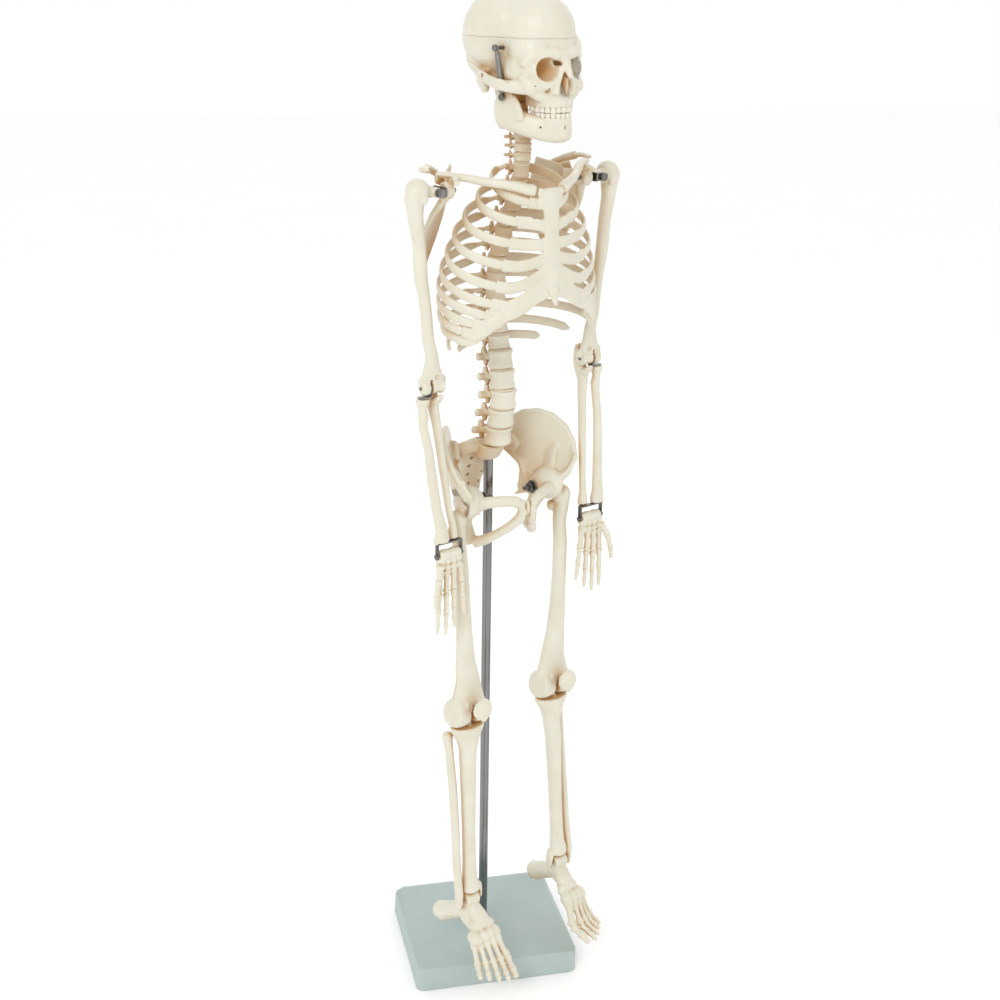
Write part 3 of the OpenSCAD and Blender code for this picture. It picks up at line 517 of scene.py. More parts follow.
lumbar_pitch, thoracic_pitch, neck_pitch, disc_height = 16.0, 12.6, 7.1, 1.8
lumbar_z = 15.5
thorax_z = lumbar_z + 5 * lumbar_pitch
neck_z = thorax_z + 12 * thoracic_pitch
head_z = neck_z + 7 * neck_pitch
spine_line = [(0, -4), (lumbar_z + 0.7 * lumbar_pitch, -13), (lumbar_z + 2.8 * lumbar_pitch, -19.5),
              (thorax_z, -13), (thorax_z + 3 * thoracic_pitch, -6), (thorax_z + 6 * thoracic_pitch, -8),
              (thorax_z + 8.5 * thoracic_pitch, -20), (thorax_z + 10.6 * thoracic_pitch, -33),
              (neck_z, -37), (neck_z + 2 * neck_pitch, -38), (neck_z + 5 * neck_pitch, -34.5),
              (head_z, -30)]


def spine_y(z):
    """Middle of the vertebral bodies, front to back, at height z."""
    for (z0, y0), (z1, y1) in zip(spine_line, spine_line[1:]):
        if z <= z1:
            return mix(y0, y1, max(0.0, (z - z0) / (z1 - z0)))
    return spine_line[-1][1]


def vertebra(name, r, h, side, back, fall, grain, blade_height):
    """One vertebra on the origin: body radius r, body height h, reach of its processes."""
    piece = start_bone(name)
    strand([((0, 0, 0), r * 0.94, r * 0.80), ((0, 0, h * 0.07), r, r * 0.86),
            ((0, 0, h * 0.16), r * 0.98, r * 0.84), ((0, 0, h * 0.36), r * 0.9, r * 0.76),
            ((0, 0, h * 0.64), r * 0.9, r * 0.76), ((0, 0, h * 0.84), r * 0.98, r * 0.84),
            ((0, 0, h * 0.93), r, r * 0.86), ((0, 0, h), r * 0.94, r * 0.80)], corners=24)
    arch_y = r * 0.86 + 2.4
    for s in (-1, 1):
        # root of the arch, plate, and the knobs that meet the neighbours
        strand([((s * r * 0.52, r * 0.5, h * 0.62), h * 0.15, h * 0.2),
                ((s * r * 0.60, arch_y, h * 0.58), h * 0.16, h * 0.21)])
        strand([((s * r * 0.60, arch_y - 0.3, h * 0.52), h * 0.14, h * 0.24),
                ((s * r * 0.22, arch_y + r * 0.34, h * 0.42), h * 0.13, h * 0.26),
                ((0, arch_y + r * 0.5, h * 0.38), h * 0.12, h * 0.24)], side=(0, 1, 0))
        strand([((s * r * 0.62, arch_y, h * 0.5), h * 0.17, h * 0.2),
                ((s * r * 0.68, arch_y + 0.4, h * 0.86), h * 0.19, h * 0.2),
                ((s * r * 0.66, arch_y + 0.9, h * 1.1), h * 0.13, h * 0.14)])
        strand([((s * r * 0.56, arch_y + 0.5, h * 0.5), h * 0.17, h * 0.2),
                ((s * r * 0.48, arch_y + 1.5, h * 0.16), h * 0.16, h * 0.18),
                ((s * r * 0.44, arch_y + 1.6, h * 0.0), h * 0.08, h * 0.1)])
        strand([((s * r * 0.5, arch_y - 0.6, h * 0.55), h * 0.25, h * 0.18),
                ((s * mix(r * 0.5, side, 0.5), arch_y + 0.2, h * 0.56), h * 0.21, h * 0.15),
                ((s * (side - 1), arch_y + 1.2, h * 0.58), h * 0.23, h * 0.18),
                ((s * side, arch_y + 1.4, h * 0.58), h * 0.14, h * 0.11)], side=(0, 0, 1))
    strand([((0, arch_y + r * 0.3, h * 0.42), blade_height, 1.3),
            ((0, mix(arch_y, r + back, 0.5), h * 0.38 - fall * 0.45), blade_height * 0.85, 1.0),
            ((0, r + back - 1, h * 0.36 - fall), blade_height * 0.8, 1.3),
            ((0, r + back, h * 0.36 - fall), blade_height * 0.5, 0.9)], side=(0, 0, 1))
    fuse(piece, grain, 5)
    return piece


def column(name, model, count, z0, pitch, shrink, slot_node):
    """Copies of the model vertebra, stacked along the spine's line and joined in one piece."""
    made = []
    for i in range(count):
        copy = copied(model, f"{name}_{i}")
        z = z0 + i * pitch
        size = 1 - shrink * i
        slope = math.atan2(spine_y(z + pitch) - spine_y(z), pitch) * 0.35
        copy.data.transform(Matrix.Translation((0, spine_y(z + pitch / 2), z))
                            @ Matrix.Rotation(-slope, 4, "X") @ Matrix.Diagonal((size, size, 1, 1)))
        made.append(copy)
    bpy.data.objects.remove(model)
    piece = joined(made, name)
    return set_in_place(piece, skeleton, ivory, "bone_plastic", "trunk", slot_node)


column("lumbar_column", vertebra("lumbar_model", 12.2, lumbar_pitch - disc_height + 0.8, 16.4, 13.4, 1,
                                 0.62, 4.4),
       5, lumbar_z, lumbar_pitch, 0.026, "lumbar_vertebrae")
column("thoracic_column", vertebra("thoracic_model", 9.8, thoracic_pitch - disc_height + 0.3, 12.2, 12, 4.5,
                                   0.6, 2.4),
       12, thorax_z, thoracic_pitch, 0.026, "thoracic_vertebrae")
column("neck_column", vertebra("neck_model", 7.4, neck_pitch - disc_height + 0.8, 10.4, 9.0, 1.5, 0.42, 1.7),
       7, neck_z, neck_pitch, 0.004, "neck_vertebrae")


def make_discs():
    piece = start_bone("disc_set")
    stack = [(lumbar_z - disc_height, -5, 10.2)]
    stack += [(lumbar_z + (i + 1) * lumbar_pitch - disc_height, None, 10.6 - 0.3 * i) for i in range(5)]
    stack += [(thorax_z + (i + 1) * thoracic_pitch - disc_height, None, 9.0 - 0.25 * i) for i in range(12)]
    stack += [(neck_z + (i + 1) * neck_pitch - disc_height, None, 6.1) for i in range(6)]
    for z, y, r in stack:
        y = spine_y(z + disc_height) if y is None else y
        strand([((0, y, z - 0.3), r * 0.93, r * 0.80), ((0, y, z + 0.3), r * 0.985, r * 0.85),
                ((0, y, z + disc_height / 2), r, r * 0.87), ((0, y, z + disc_height - 0.3), r * 0.985,
                                                             r * 0.85),
                ((0, y, z + disc_height + 0.3), r * 0.93, r * 0.80)], corners=28)
    bpy.ops.object.mode_set(mode="OBJECT")
    set_in_place(piece, skeleton, gristle_plastic, "disc_plastic", "trunk", "spinal_discs")


make_discs()

# ---- Rib cage ----------------------------------------------------------------------------
# Twelve pairs of flat bands. Ten pairs run on into gristle that meets the breastbone, and it
# is all moulded in the same ivory plastic; the two lowest pairs end free.

cage_half_width, rib_height, rib_thickness = 71.0, 7.7, 3.1
rib_reach = [0.44, 0.62, 0.76, 0.86, 0.93, 0.975, 1, 1, 0.985, 0.94, 0.87, 0.74]
rib_drop = [22, 24, 27, 31, 35, 36, 32, 27, 21, 14, 22, 12]
rib_end = [150, 146, 144, 142, 140, 138, 134, 124, 114, 104, 78, 52]
rib_start_x = 12.6
notch_z = [neck_z - d for d in (27, 44, 58, 69, 79, 87, 93)]


def rib_level(i):
    return neck_z - (i + 0.5) * thoracic_pitch


def rib_front(i):
    return -71 - 0.9 * min(i, 7)


def rib_point(i, degrees):
    """Point of rib i at that angle, where 0 is the back and 180 the breastbone."""
    a = math.radians(degrees)
    wide, back, front = cage_half_width * rib_reach[i], spine_y(rib_level(i)) + 14, rib_front(i)
    return Vector((wide * math.sin(a), (back + front) / 2 + (back - front) / 2 * math.cos(a),
                   rib_level(i) - rib_drop[i] * (1 - math.cos(a)) / 2))


def flat_band(points, start, end, wide=1.0):
    last = len(points) - 1
    stations = []
    for i, p in enumerate(points):
        size = start if i == 0 else end if i == last else 1.0
        stations.append((p, rib_height / 2 * size * wide, rib_thickness / 2 * max(size, 0.75)))
    strand(stations, side=(0, 0, 1), corners=12)


def make_ribs():
    piece = start_bone("rib_set_left")
    for i in range(12):
        first = math.degrees(math.asin(rib_start_x / (cage_half_width * rib_reach[i])))
        steps = 9 if i > 9 else 17
        points = [rib_point(i, mix(first, rib_end[i], k / steps)) for k in range(steps + 1)]
        flat_band(points, 0.6, 0.8 if i < 10 else 0.35)
        # neck and head of the rib, against the vertebra
        start = points[0]
        body = Vector((8.2 - 0.12 * i, spine_y(rib_level(i)) + 6.5, rib_level(i) + 2.4))
        strand([(body, 2.2, 2.0), (mix(body, start, 0.45), 1.7, 1.4), (start, 2.2, 1.6)], side=(0, 0, 1))
        knob(start + Vector((0.2, 0.6, 0)), (1.9, 1.6, 1.9))
    fuse(piece, 0.68, 5)
    right = copied(piece, "rib_set_right")
    set_in_place(piece, skeleton, ivory, "bone_plastic", "trunk", "ribs_left")
    set_in_place(right, skeleton @ mirrored, ivory, "bone_plastic", "trunk", "ribs_right")


mirrored = Matrix.Diagonal((-1, 1, 1, 1))
make_ribs()


def gristle_path(i):
    a, b = rib_point(i, rib_end[i] - 3), rib_point(i, rib_end[i] + 9)
    if i < 7:
        goal = Vector((6, rib_front(i) - 1, notch_z[i]))
    else:
        goal = mix(rib_point(i - 1, rib_end[i - 1] + 9), Vector((6, rib_front(6), notch_z[6])),
                   0.25 - 0.05 * (9 - i))
    lift = (goal.z - b.z) * 0.12
    return [a, b, mix(b, goal, 0.25) + Vector((1, -1.4, -lift * 0.8)),
            mix(b, goal, 0.5) + Vector((0.9, -1.8, -lift)), mix(b, goal, 0.75) + Vector((0.5, -1.2, 0)), goal]


def make_breastbone():
    piece = start_bone("breastbone")
    top = neck_z - 16
    strand([((0, -71.2, top - 0.5), 6.5, 1.9), ((0, -71.6, top - 2.2), 10.6, 2.9),
            ((0, -72, top - 6), 11, 3.1),
            ((0, -72.6, top - 12), 9.4, 3.0), ((0, -73.2, top - 18), 7.4, 2.7), ((0, -73.8, top - 22), 7.2,
                                                                                 3.2),
            ((0, -74.2, top - 30), 6.6, 2.6), ((0, -74.6, top - 40), 7.2, 2.7), ((0, -75.3, top - 52), 8.4,
                                                                                 2.7),
            ((0, -76, top - 62), 8.8, 2.7), ((0, -77, top - 74), 6.6, 2.5), ((0, -79, top - 80), 3.6, 1.9),
            ((0, -80.6, top - 85), 2.7, 1.4), ((0, -82, top - 88), 1.4, 0.9)], corners=20)
    for s in (-1, 1):
        knob((s * 9.6, -71.6, top - 3.2), (3.0, 2.8, 3.4))
        for i in range(10):
            points = [Vector((s * p.x, p.y, p.z)) for p in gristle_path(i)]
            flat_band(points, 1.05, 1.25, 1.22)
    for z in notch_z[1:5]:
        strand([((-8.6, -73.4, z), 1.5, 1.9), ((8.6, -73.4, z), 1.5, 1.9)], side=(0, 0, 1))
    fuse(piece, 0.66, 5)
    set_in_place(piece, skeleton, ivory, "bone_plastic", "trunk", "sternum")


make_breastbone()

# ---- Shoulder girdle ---------------------------------------------------------------------
# Collar bones and shoulder blades are single ivory mouldings, pinned to the rib cage. Each
# blade carries the socket in which the steel fork of the arm turns.

shoulder = joint_place("shoulder_swing_left")


def make_collar_bone():
    inner, outer = V(12.5, -70, neck_z - 18), V(73.5, -27.5, neck_z - 6)
    piece = start_bone("collar_bone_left")
    strand([(inner, 3.4, 3.4), (mix(inner, outer, 0.03), 4.6, 4.4),
            (mix(inner, outer, 0.1) + V(0, -0.8, 0), 4.5, 4.3),
            (mix(inner, outer, 0.22) + V(-0.8, -3.0, 0.6), 3.8, 3.8),
            (mix(inner, outer, 0.36) + V(-0.8, -3.8, 0.8), 3.5, 3.5),
            (mix(inner, outer, 0.52) + V(0, -1.0, 0.4), 3.4, 3.3),
            (mix(inner, outer, 0.68) + V(0.8, 2.0, 0.9), 3.6, 3.0),
            (mix(inner, outer, 0.84) + V(0.8, 2.8, 0.9), 4.0, 2.6),
            (mix(inner, outer, 0.95) + V(0, 1, 0.2), 3.9, 2.3), (outer, 2.8, 1.6)], side=(0, 1, 0), corners=16)
    knob(mix(inner, outer, 0.74) + V(1, 1.5, -1.2), (2.4, 2.0, 1.6))
    fuse(piece, 0.6, 4)
    right = copied(piece, "collar_bone_right")
    set_in_place(piece, skeleton, ivory, "bone_plastic", "trunk", "clavicle_left")
    set_in_place(right, skeleton @ mirrored, ivory, "bone_plastic", "trunk", "clavicle_right")


make_collar_bone()


def make_shoulder_blade():
    s = shoulder
    piece = start_bone("shoulder_blade_left")
    top_in, tip = V(43, -3, s.z + 14), V(63, 7, s.z - 73)
    neck_top, neck_low = V(s.x - 14, s.y + 3, s.z + 6), V(s.x - 13.5, s.y + 3, s.z - 6)
    rows = []
    for j in range(13):
        t = j / 12
        inner = mix(top_in, tip, t) + V(-9.5, 5.0, 2) * math.sin(math.pi * min(1, t * 1.15)) * 0.9
        if t < 0.16:
            outer = mix(neck_top, neck_low, t / 0.16)
        else:
            outer = (mix(neck_low, tip, (t - 0.16) / 0.84)
                     + V(9.5, 1.5, 0) * math.sin(math.pi * ((t - 0.16) / 0.84) ** 0.8))
        row = []
        for i in range(13):
            u = i / 12
            dip = -3.2 * math.sin(math.pi * u) * (1 - t) ** 0.5
            notch = -4 * math.exp(-((u - 0.72) / 0.12) ** 2) * max(0, 1 - t * 8)
            row.append(mix(inner, outer, u) + V(0.45, 0.9, 0) * -dip + V(0, 0, notch))
        rows.append(row)
    blade(rows, 1.3)
    # thick rims: inner border, outer border, lower tip
    strand([(rows[j][0], 1.5, 1.3) for j in range(0, 13, 2)])
    strand([(neck_low + V(0.5, 0, 1), 4.0, 3.2)] + [(rows[j][12], 2.6 - 0.08 * j,
                                                     2.4 - 0.06 * j) for j in range(4, 13, 2)])
    knob(tip + V(-0.5, 0, 2), (3.0, 1.8, 3.2))
    # neck and socket
    strand([(V(s.x - 24, s.y + 13, s.z), 6.5, 3.0), (V(s.x - 18, s.y + 7, s.z), 6.2, 4.6),
            (V(s.x - 13, s.y + 1.5, s.z), 6.6, 5.4)], side=(0, 0, 1), corners=16)
    strand([(V(s.x - 16, s.y + 0.5, s.z), 6.2, 5.4), (V(s.x - 9.4, s.y, s.z), 7.2, 6.0),
            (V(s.x - 8.2, s.y, s.z), 6.6, 5.4)], side=(0, 0, 1), corners=20)
    # spine of the blade and its end over the shoulder
    ridge = [V(45, -1, s.z + 2), V(51, -2, s.z + 5), V(58, -5, s.z + 9), V(66, -10, s.z + 12.6),
             V(73.5, -14.4, s.z + 14.6)]
    strand([(ridge[0], 1.4, 1.6), (ridge[1], 2.2, 2.0), (ridge[2], 3.0, 1.9), (ridge[3], 3.2, 2.2),
            (ridge[4], 3.6, 2.4)],
           side=(0, 0, 1))
    strand([(V(49, -7, s.z + 2), 1.2, 3.2), (V(58, -12, s.z + 4.6), 1.4, 4.6),
            (V(66, -17, s.z + 7.4), 1.6, 4.6)],
           side=(0.5, 0.8, 0))
    strand([(V(71, -13.5, s.z + 14), 3.0, 2.3), (V(76.5, -15.5, s.z + 14.8), 4.0, 2.1),
            (V(79.2, -20.5, s.z + 14.2), 4.2, 1.9), (V(78.4, -24.6, s.z + 13.6), 2.8, 1.4)], side=(1, 0, 0), corners=16)
    # hooked process in front
    strand([(V(s.x - 17, s.y + 4, s.z + 4), 3.6, 3.6), (V(s.x - 16.6, s.y - 1, s.z + 8.6), 2.9, 2.7),
            (V(s.x - 15.6, s.y - 6.5, s.z + 9), 2.6, 2.2), (V(s.x - 12.4, s.y - 11.4, s.z + 6.6), 2.3, 1.9),
            (V(s.x - 11, s.y - 12.8, s.z + 5.4), 1.3, 1.2)])
    fuse(piece, 0.62, 6)
    right = copied(piece, "shoulder_blade_right")
    set_in_place(piece, skeleton, ivory, "bone_plastic", "trunk", "scapula_left")
    set_in_place(right, skeleton @ mirrored, ivory, "bone_plastic", "trunk", "scapula_right")


make_shoulder_blade()

# ---- Arms --------------------------------------------------------------------------------
# Upper arm, forearm and hand are ivory mouldings. A steel fork holds the shoulder, a lug and
# pin the elbow, and a bent steel strip with two pins the wrist.

elbow, wrist = joint_place("elbow_bend_left"), joint_place("wrist_bend_left")


def pair(piece, name, body, node):
    """Sets the left bone in place, and a mirrored copy on the right."""
    right = copied(piece, name + "_right")
    piece.name = name + "_left"
    set_in_place(piece, skeleton, ivory, "bone_plastic", body + "_left", node + "_left")
    set_in_place(right, skeleton @ mirrored, ivory, "bone_plastic", body + "_right", node + "_right")


def make_upper_arm():
    s, e = shoulder, elbow
    head = s + V(13.6, 2, 1)
    piece = start_bone("upper_arm_bone")
    # lug in the fork, ball, and the knobs beside it
    strand([(s + V(0, -5.6, 0), 3.9, 3.9), (s + V(0, 5.6, 0), 3.9, 3.9)], corners=20)
    strand([(s + V(0.5, 0, 0), 3.7, 4.6), (s + V(5, 0.6, 0.4), 4.6, 5.2), (s + V(10, 1.5, 0.8), 6.6, 6.8)],
           side=(0, 0, 1))
    knob(head + V(-0.4, 0, 0.4), (9.1, 9.3, 9.4))
    knob(head + V(3.4, -1, -2), (6.0, 7.4, 8.4))
    knob(head + V(-1.5, -7.0, -4.5), (3.0, 2.6, 4.4))
    mid = mix(head, e, 0.5)
    strand([(head + V(2.2, 0, -4), 8.2, 7.8), (head + V(1.9, 0, -10), 7.0, 6.6),
            (head + V(1.6, 0, -18), 6.0, 5.7),
            (mix(head, e, 0.25) + V(1.6, 0, 0), 5.1, 5.0), (mix(head, e, 0.38) + V(2.1, 0.2, 0), 5.4, 4.9),
            (mix(head, e, 0.46) + V(1.9, 0.2, 0), 5.2, 4.7), (mid + V(0.9, 0, 0), 4.6, 4.5),
            (mix(head, e, 0.62), 4.6, 4.3), (mix(head, e, 0.75), 4.9, 4.2), (e + V(0, 0, 24), 5.6, 4.0),
            (e + V(0, 0, 16), 7.2, 3.8), (e + V(-0.3, 0, 9), 9.8, 3.6), (e + V(-0.4, 0, 4), 10.2, 3.8)], corners=20)
    # spool and ball of the elbow, split for the steel lug
    strand([(e + V(-9.8, 0, 0), 5.4, 5.4), (e + V(-8.6, 0, 0), 6.0, 6.0), (e + V(-4.0, 0, 0), 4.9, 4.9),
            (e + V(-0.4, 0, 0), 5.5, 5.5), (e + V(1.0, 0, 0), 5.2, 5.2)], side=(0, 1, 0), corners=24)
    strand([(e + V(3.4, 0, 0), 5.2, 5.2), (e + V(5.4, 0, 0), 5.9, 5.9), (e + V(8.4, 0, 0), 5.6, 5.6),
            (e + V(9.9, 0, 0), 4.4, 4.4)], side=(0, 1, 0), corners=24)
    knob(e + V(-11.0, 0.8, 4.4), (3.2, 2.8, 3.6))
    knob(e + V(9.6, 0.4, 5.6), (2.4, 2.6, 3.8))
    fuse(piece, 0.66, 5)
    cutter = start_bone("cutter")
    strand([(e + V(-4, 8.6, 6.5), 4.4, 4.0), (e + V(-4, 2.6, 6.5), 3.2, 3.0)], side=(1, 0, 0), corners=20)
    strand([(e + V(-3, -8, 8), 3.8, 3.0), (e + V(-3, -3.0, 8), 2.4, 1.8)], side=(1, 0, 0), corners=20)
    strand([(e + V(0.9, 0, 0), 7.6, 7.6), (e + V(3.5, 0, 0), 7.6, 7.6)], side=(0, 1, 0), corners=24)
    carve(piece, cutter)
    pair(piece, "upper_arm_bone", "upper_arm", "humerus")


make_upper_arm()


def make_forearm():
    e, w = elbow, wrist
    piece = start_bone("elbow_bone")
    low = w + V(-6, 3.5, 13.4)
    top = e + V(-4, 4, -12)
    strand([(e + V(-4, 6.6, 10.2), 2.6, 1.4), (e + V(-4, 8.2, 8.6), 4.0, 3.0), (e + V(-4, 9.0, 4), 4.5, 3.6),
            (e + V(-4, 9.2, -1), 4.4, 3.8), (e + V(-4, 7.4, -6), 4.6, 6.2), (top + V(0, 0.4, -1), 4.7, 6.0),
            (top + V(0.2, -1.2, -8), 4.2, 4.7), (mix(top, low, 0.16), 3.7, 4.1), (mix(top, low, 0.34), 3.4,
                                                                                  3.7),
            (mix(top, low, 0.55), 3.2, 3.3), (mix(top, low, 0.8), 2.9, 2.9), (low + V(0, 0, 9), 3.1, 3.1),
            (low + V(0, 0, 3), 4.0, 4.0), (low + V(0, 0, -0.5), 4.4, 4.3), (low + V(0, 0, -1.9), 3.8, 3.6)], corners=18)
    strand([(e + V(-4, -7.2, -6.2), 2.6, 1.6), (e + V(-4, -4.4, -8.6), 3.8, 2.4),
            (e + V(-4, 0, -12), 4.2, 3.6)])
    fuse(piece, 0.58, 5)
    cutter = start_bone("cutter")
    strand([(e + V(-14, 0, 0), 6.4, 6.4), (e + V(8, 0, 0), 6.4, 6.4)], side=(0, 1, 0), corners=32)
    carve(piece, cutter)
    pair(piece, "elbow_bone", "forearm", "ulna")

    piece = start_bone("turning_bone")
    top, low = e + V(8.6, 0, -8.1), w + V(7, 0, 12)
    strand([(top + V(0, 0, -0.1), 4.8, 4.8), (top + V(0, 0, -0.6), 5.5, 5.5), (top + V(0, 0, -3.4), 5.5, 5.5),
            (top + V(0, 0, -4.6), 4.6, 4.6), (top + V(0, 0, -9), 3.4, 3.4), (top + V(-0.8, 0, -15), 4.2, 3.8),
            (top + V(-0.3, 0, -22), 3.6, 3.5), (mix(top, low, 0.36) + V(0.8, 0, 0), 3.8, 3.4),
            (mix(top, low, 0.55) + V(1.1, 0, 0), 4.2, 3.6), (mix(top, low, 0.78) + V(0.6, 0, 0), 4.4, 3.8),
            (low + V(0.2, 0, 10), 5.2, 4.3), (low + V(0, 0, 4.4), 6.4, 5.0), (low + V(0, 0, 1), 6.5, 5.1),
            (low + V(0, 0, 0.1), 5.8, 4.6)], corners=20)
    knob(top + V(-3, -0.6, -15.5), (1.9, 2.1, 4.0))
    knob(low + V(5.6, 0, 0.8), (1.8, 2.4, 2.6))
    fuse(piece, 0.58, 5)
    pair(piece, "turning_bone", "forearm", "radius")


make_forearm()


def digit(points, r, side=(1, 0, 0)):
    """Small bones end to end: each is waisted, with a knob at both ends and a fine gap."""
    points = [Vector(p) for p in points]
    for i, (p, q) in enumerate(zip(points, points[1:])):
        k = r * (1 - 0.13 * i)
        tip = i == len(points) - 2
        ends = 0.62 if tip else 0.9
        strand([(mix(p, q, 0.02), k * 0.7, k * 0.7), (mix(p, q, 0.07), k * 1.02, k * 0.98),
                (mix(p, q, 0.2), k * 0.86, k * 0.8), (mix(p, q, 0.5), k * 0.66, k * 0.6),
                (mix(p, q, 0.8), k * 0.74 * (0.9 if tip else 1), k * 0.66), (mix(p, q, 0.93), k * ends,
                                                                             k * ends * 0.9),
                (mix(p, q, 0.985), k * ends * 0.6, k * ends * 0.55)], side=side, corners=12)
        if not tip:
            bar(mix(p, q, 0.94), mix(p, q, 1.04), k * 0.42, k * 0.42, 8)


def make_hand():
    w = wrist
    piece = start_bone("hand_bones")
    # first row turns on the pins, second row carries the palm
    strand([(w + V(-9.8, 0, 0), 3.8, 4.2), (w + V(-8.4, 0, 0.2), 4.6, 4.9), (w + V(-3.4, 0, 0.6), 4.5, 5.0),
            (w + V(0, 0, 0.2), 4.3, 4.8), (w + V(4, 0, 0.6), 4.6, 5.0), (w + V(8.4, 0, 0), 4.5, 4.9),
            (w + V(9.8, 0, 0), 3.6, 4.0)], side=(0, 1, 0), corners=18)
    for x, z, rx, rz in ((-8.0, -3.6, 4.0, 3.6), (-2.8, -4.6, 3.8, 3.8), (2.8, -4.4, 3.8, 3.9),
                         (8.2, -3.4, 4.0, 3.6),
                         (-8.0, -9.0, 3.8, 3.4), (-2.8, -9.8, 3.6, 3.4), (2.8, -9.8, 3.6, 3.4), (8.6, -8.6, 3.8, 3.6)):
        knob(w + V(x, -0.2, z), (rx, 4.6, rz))
    roots, tips, lengths = (8.6, 2.9, -2.9, -8.6), (12.0, 3.6, -5.0, -14.6), (66, 69, 64, 55)
    for k in range(4):
        digit([w + V(mix(roots[k], tips[k], t), -1 + 2 * t * (t - 1), -lengths[k] * t)
               for t in (0.17, 0.46, 0.72, 0.88, 1)], 3.5)
    digit([w + V(10, -3, -7), w + V(14.6, -6.5, -17), w + V(17.6, -8, -29), w + V(18.8, -8, -40)], 3.6)
    fuse(piece, 0.46, 3)
    pair(piece, "hand_bones", "hand", "hand")


make_hand()
for side in ("left", "right"):
    for fitting in ("shoulder_bracket_", "elbow_bracket_", "wrist_bracket_"):
        dress_fitting(fitting + side, dark_steel)

# ---- Pelvis ------------------------------------------------------------------------------
# Sacrum and two hip bones, ivory mouldings glued at the back and joined in front by a small
# gristle disc. A bolt with washer and nut goes through each socket and holds the leg.

hip = joint_place("hip_swing_left")


def make_sacrum():
    piece = start_bone("sacrum_bone")
    top = lumbar_z - disc_height
    strand([((0, -3.6, top), 11.0, 8.6), ((0, -3.4, top - 0.8), 12.2, 9.6), ((0, -2.6, top - 4), 12, 9.4),
            ((0, 0, top - 9), 12, 9.0), ((0, 3, 1.0), 11, 6)], corners=24)
    strand([((0, 9, 13), 17, 5), ((0, 10, 9), 23, 6.4), ((0, 12, 4), 24, 7.4), ((0, 15, -2), 21, 6.8),
            ((0, 19, -9), 17.6, 5.6), ((0, 22.4, -18), 14.2, 4.8), ((0, 24, -28), 10.6,
                                                                    4.2), ((0, 22.4, -37), 7.4, 3.6),
            ((0, 19.6, -43), 5.0, 3.0), ((0, 17, -49), 3.8, 2.6), ((0, 14.6, -53), 2.8, 2.1), ((0, 13, -56), 1.8, 1.5)],
           corners=28)
    for s in (-1, 1):
        strand([((s * 8, 2, 10), 5, 5), ((s * 18, 6, 10), 5.6, 5.4), ((s * 23, 9, 7), 6.2, 5.4)],
               side=(0, 0, 1))
        for i in range(4):
            knob((s * (11.6 - 1.9 * i), 17.6 + 2.6 * min(i, 2) + 1.2, 2.5 - 9.6 * i), (1.8, 2.2, 3.0))
    for i in range(5):
        knob((0, 20.4 + 2.5 * min(i, 2.4), 4.5 - 8.4 * i), (1.7, 3.2 - 0.3 * i, 3.2))
    fuse(piece, 0.72, 5)
    cutter = start_bone("cutter")
    for s in (-1, 1):
        for i in range(4):
            x, y, z = s * (11.4 - 2.1 * i), 12 + 2.8 * i, -1.5 - 8.8 * i
            strand([((x, y - 14, z + 1.5), 2.1 - 0.2 * i, 1.7), ((x, y + 7.5, z - 1), 1.4 - 0.12 * i, 1.2)])
            strand([((x * 0.92, y + 16, z - 1), 1.5 - 0.12 * i, 1.3), ((x * 0.92, y + 6, z - 1), 1.0, 0.9)])
    strand([((0, 11.5, top + 3), 4.6, 2.6), ((0, 14, top - 10), 3.4, 2.0)])
    # well for the steel sleeve, and room for its flange
    strand([((0, 0, -30), 6.4, 6.4), ((0, 0, 3.2), 6.4, 6.4)], corners=32)
    strand([((0, 0, -10), 4.9, 4.9), ((0, 0, 13), 4.9, 4.9)], corners=32)
    carve(piece, cutter)
    set_in_place(piece, skeleton, ivory, "bone_plastic", "trunk", "sacrum")


make_sacrum()


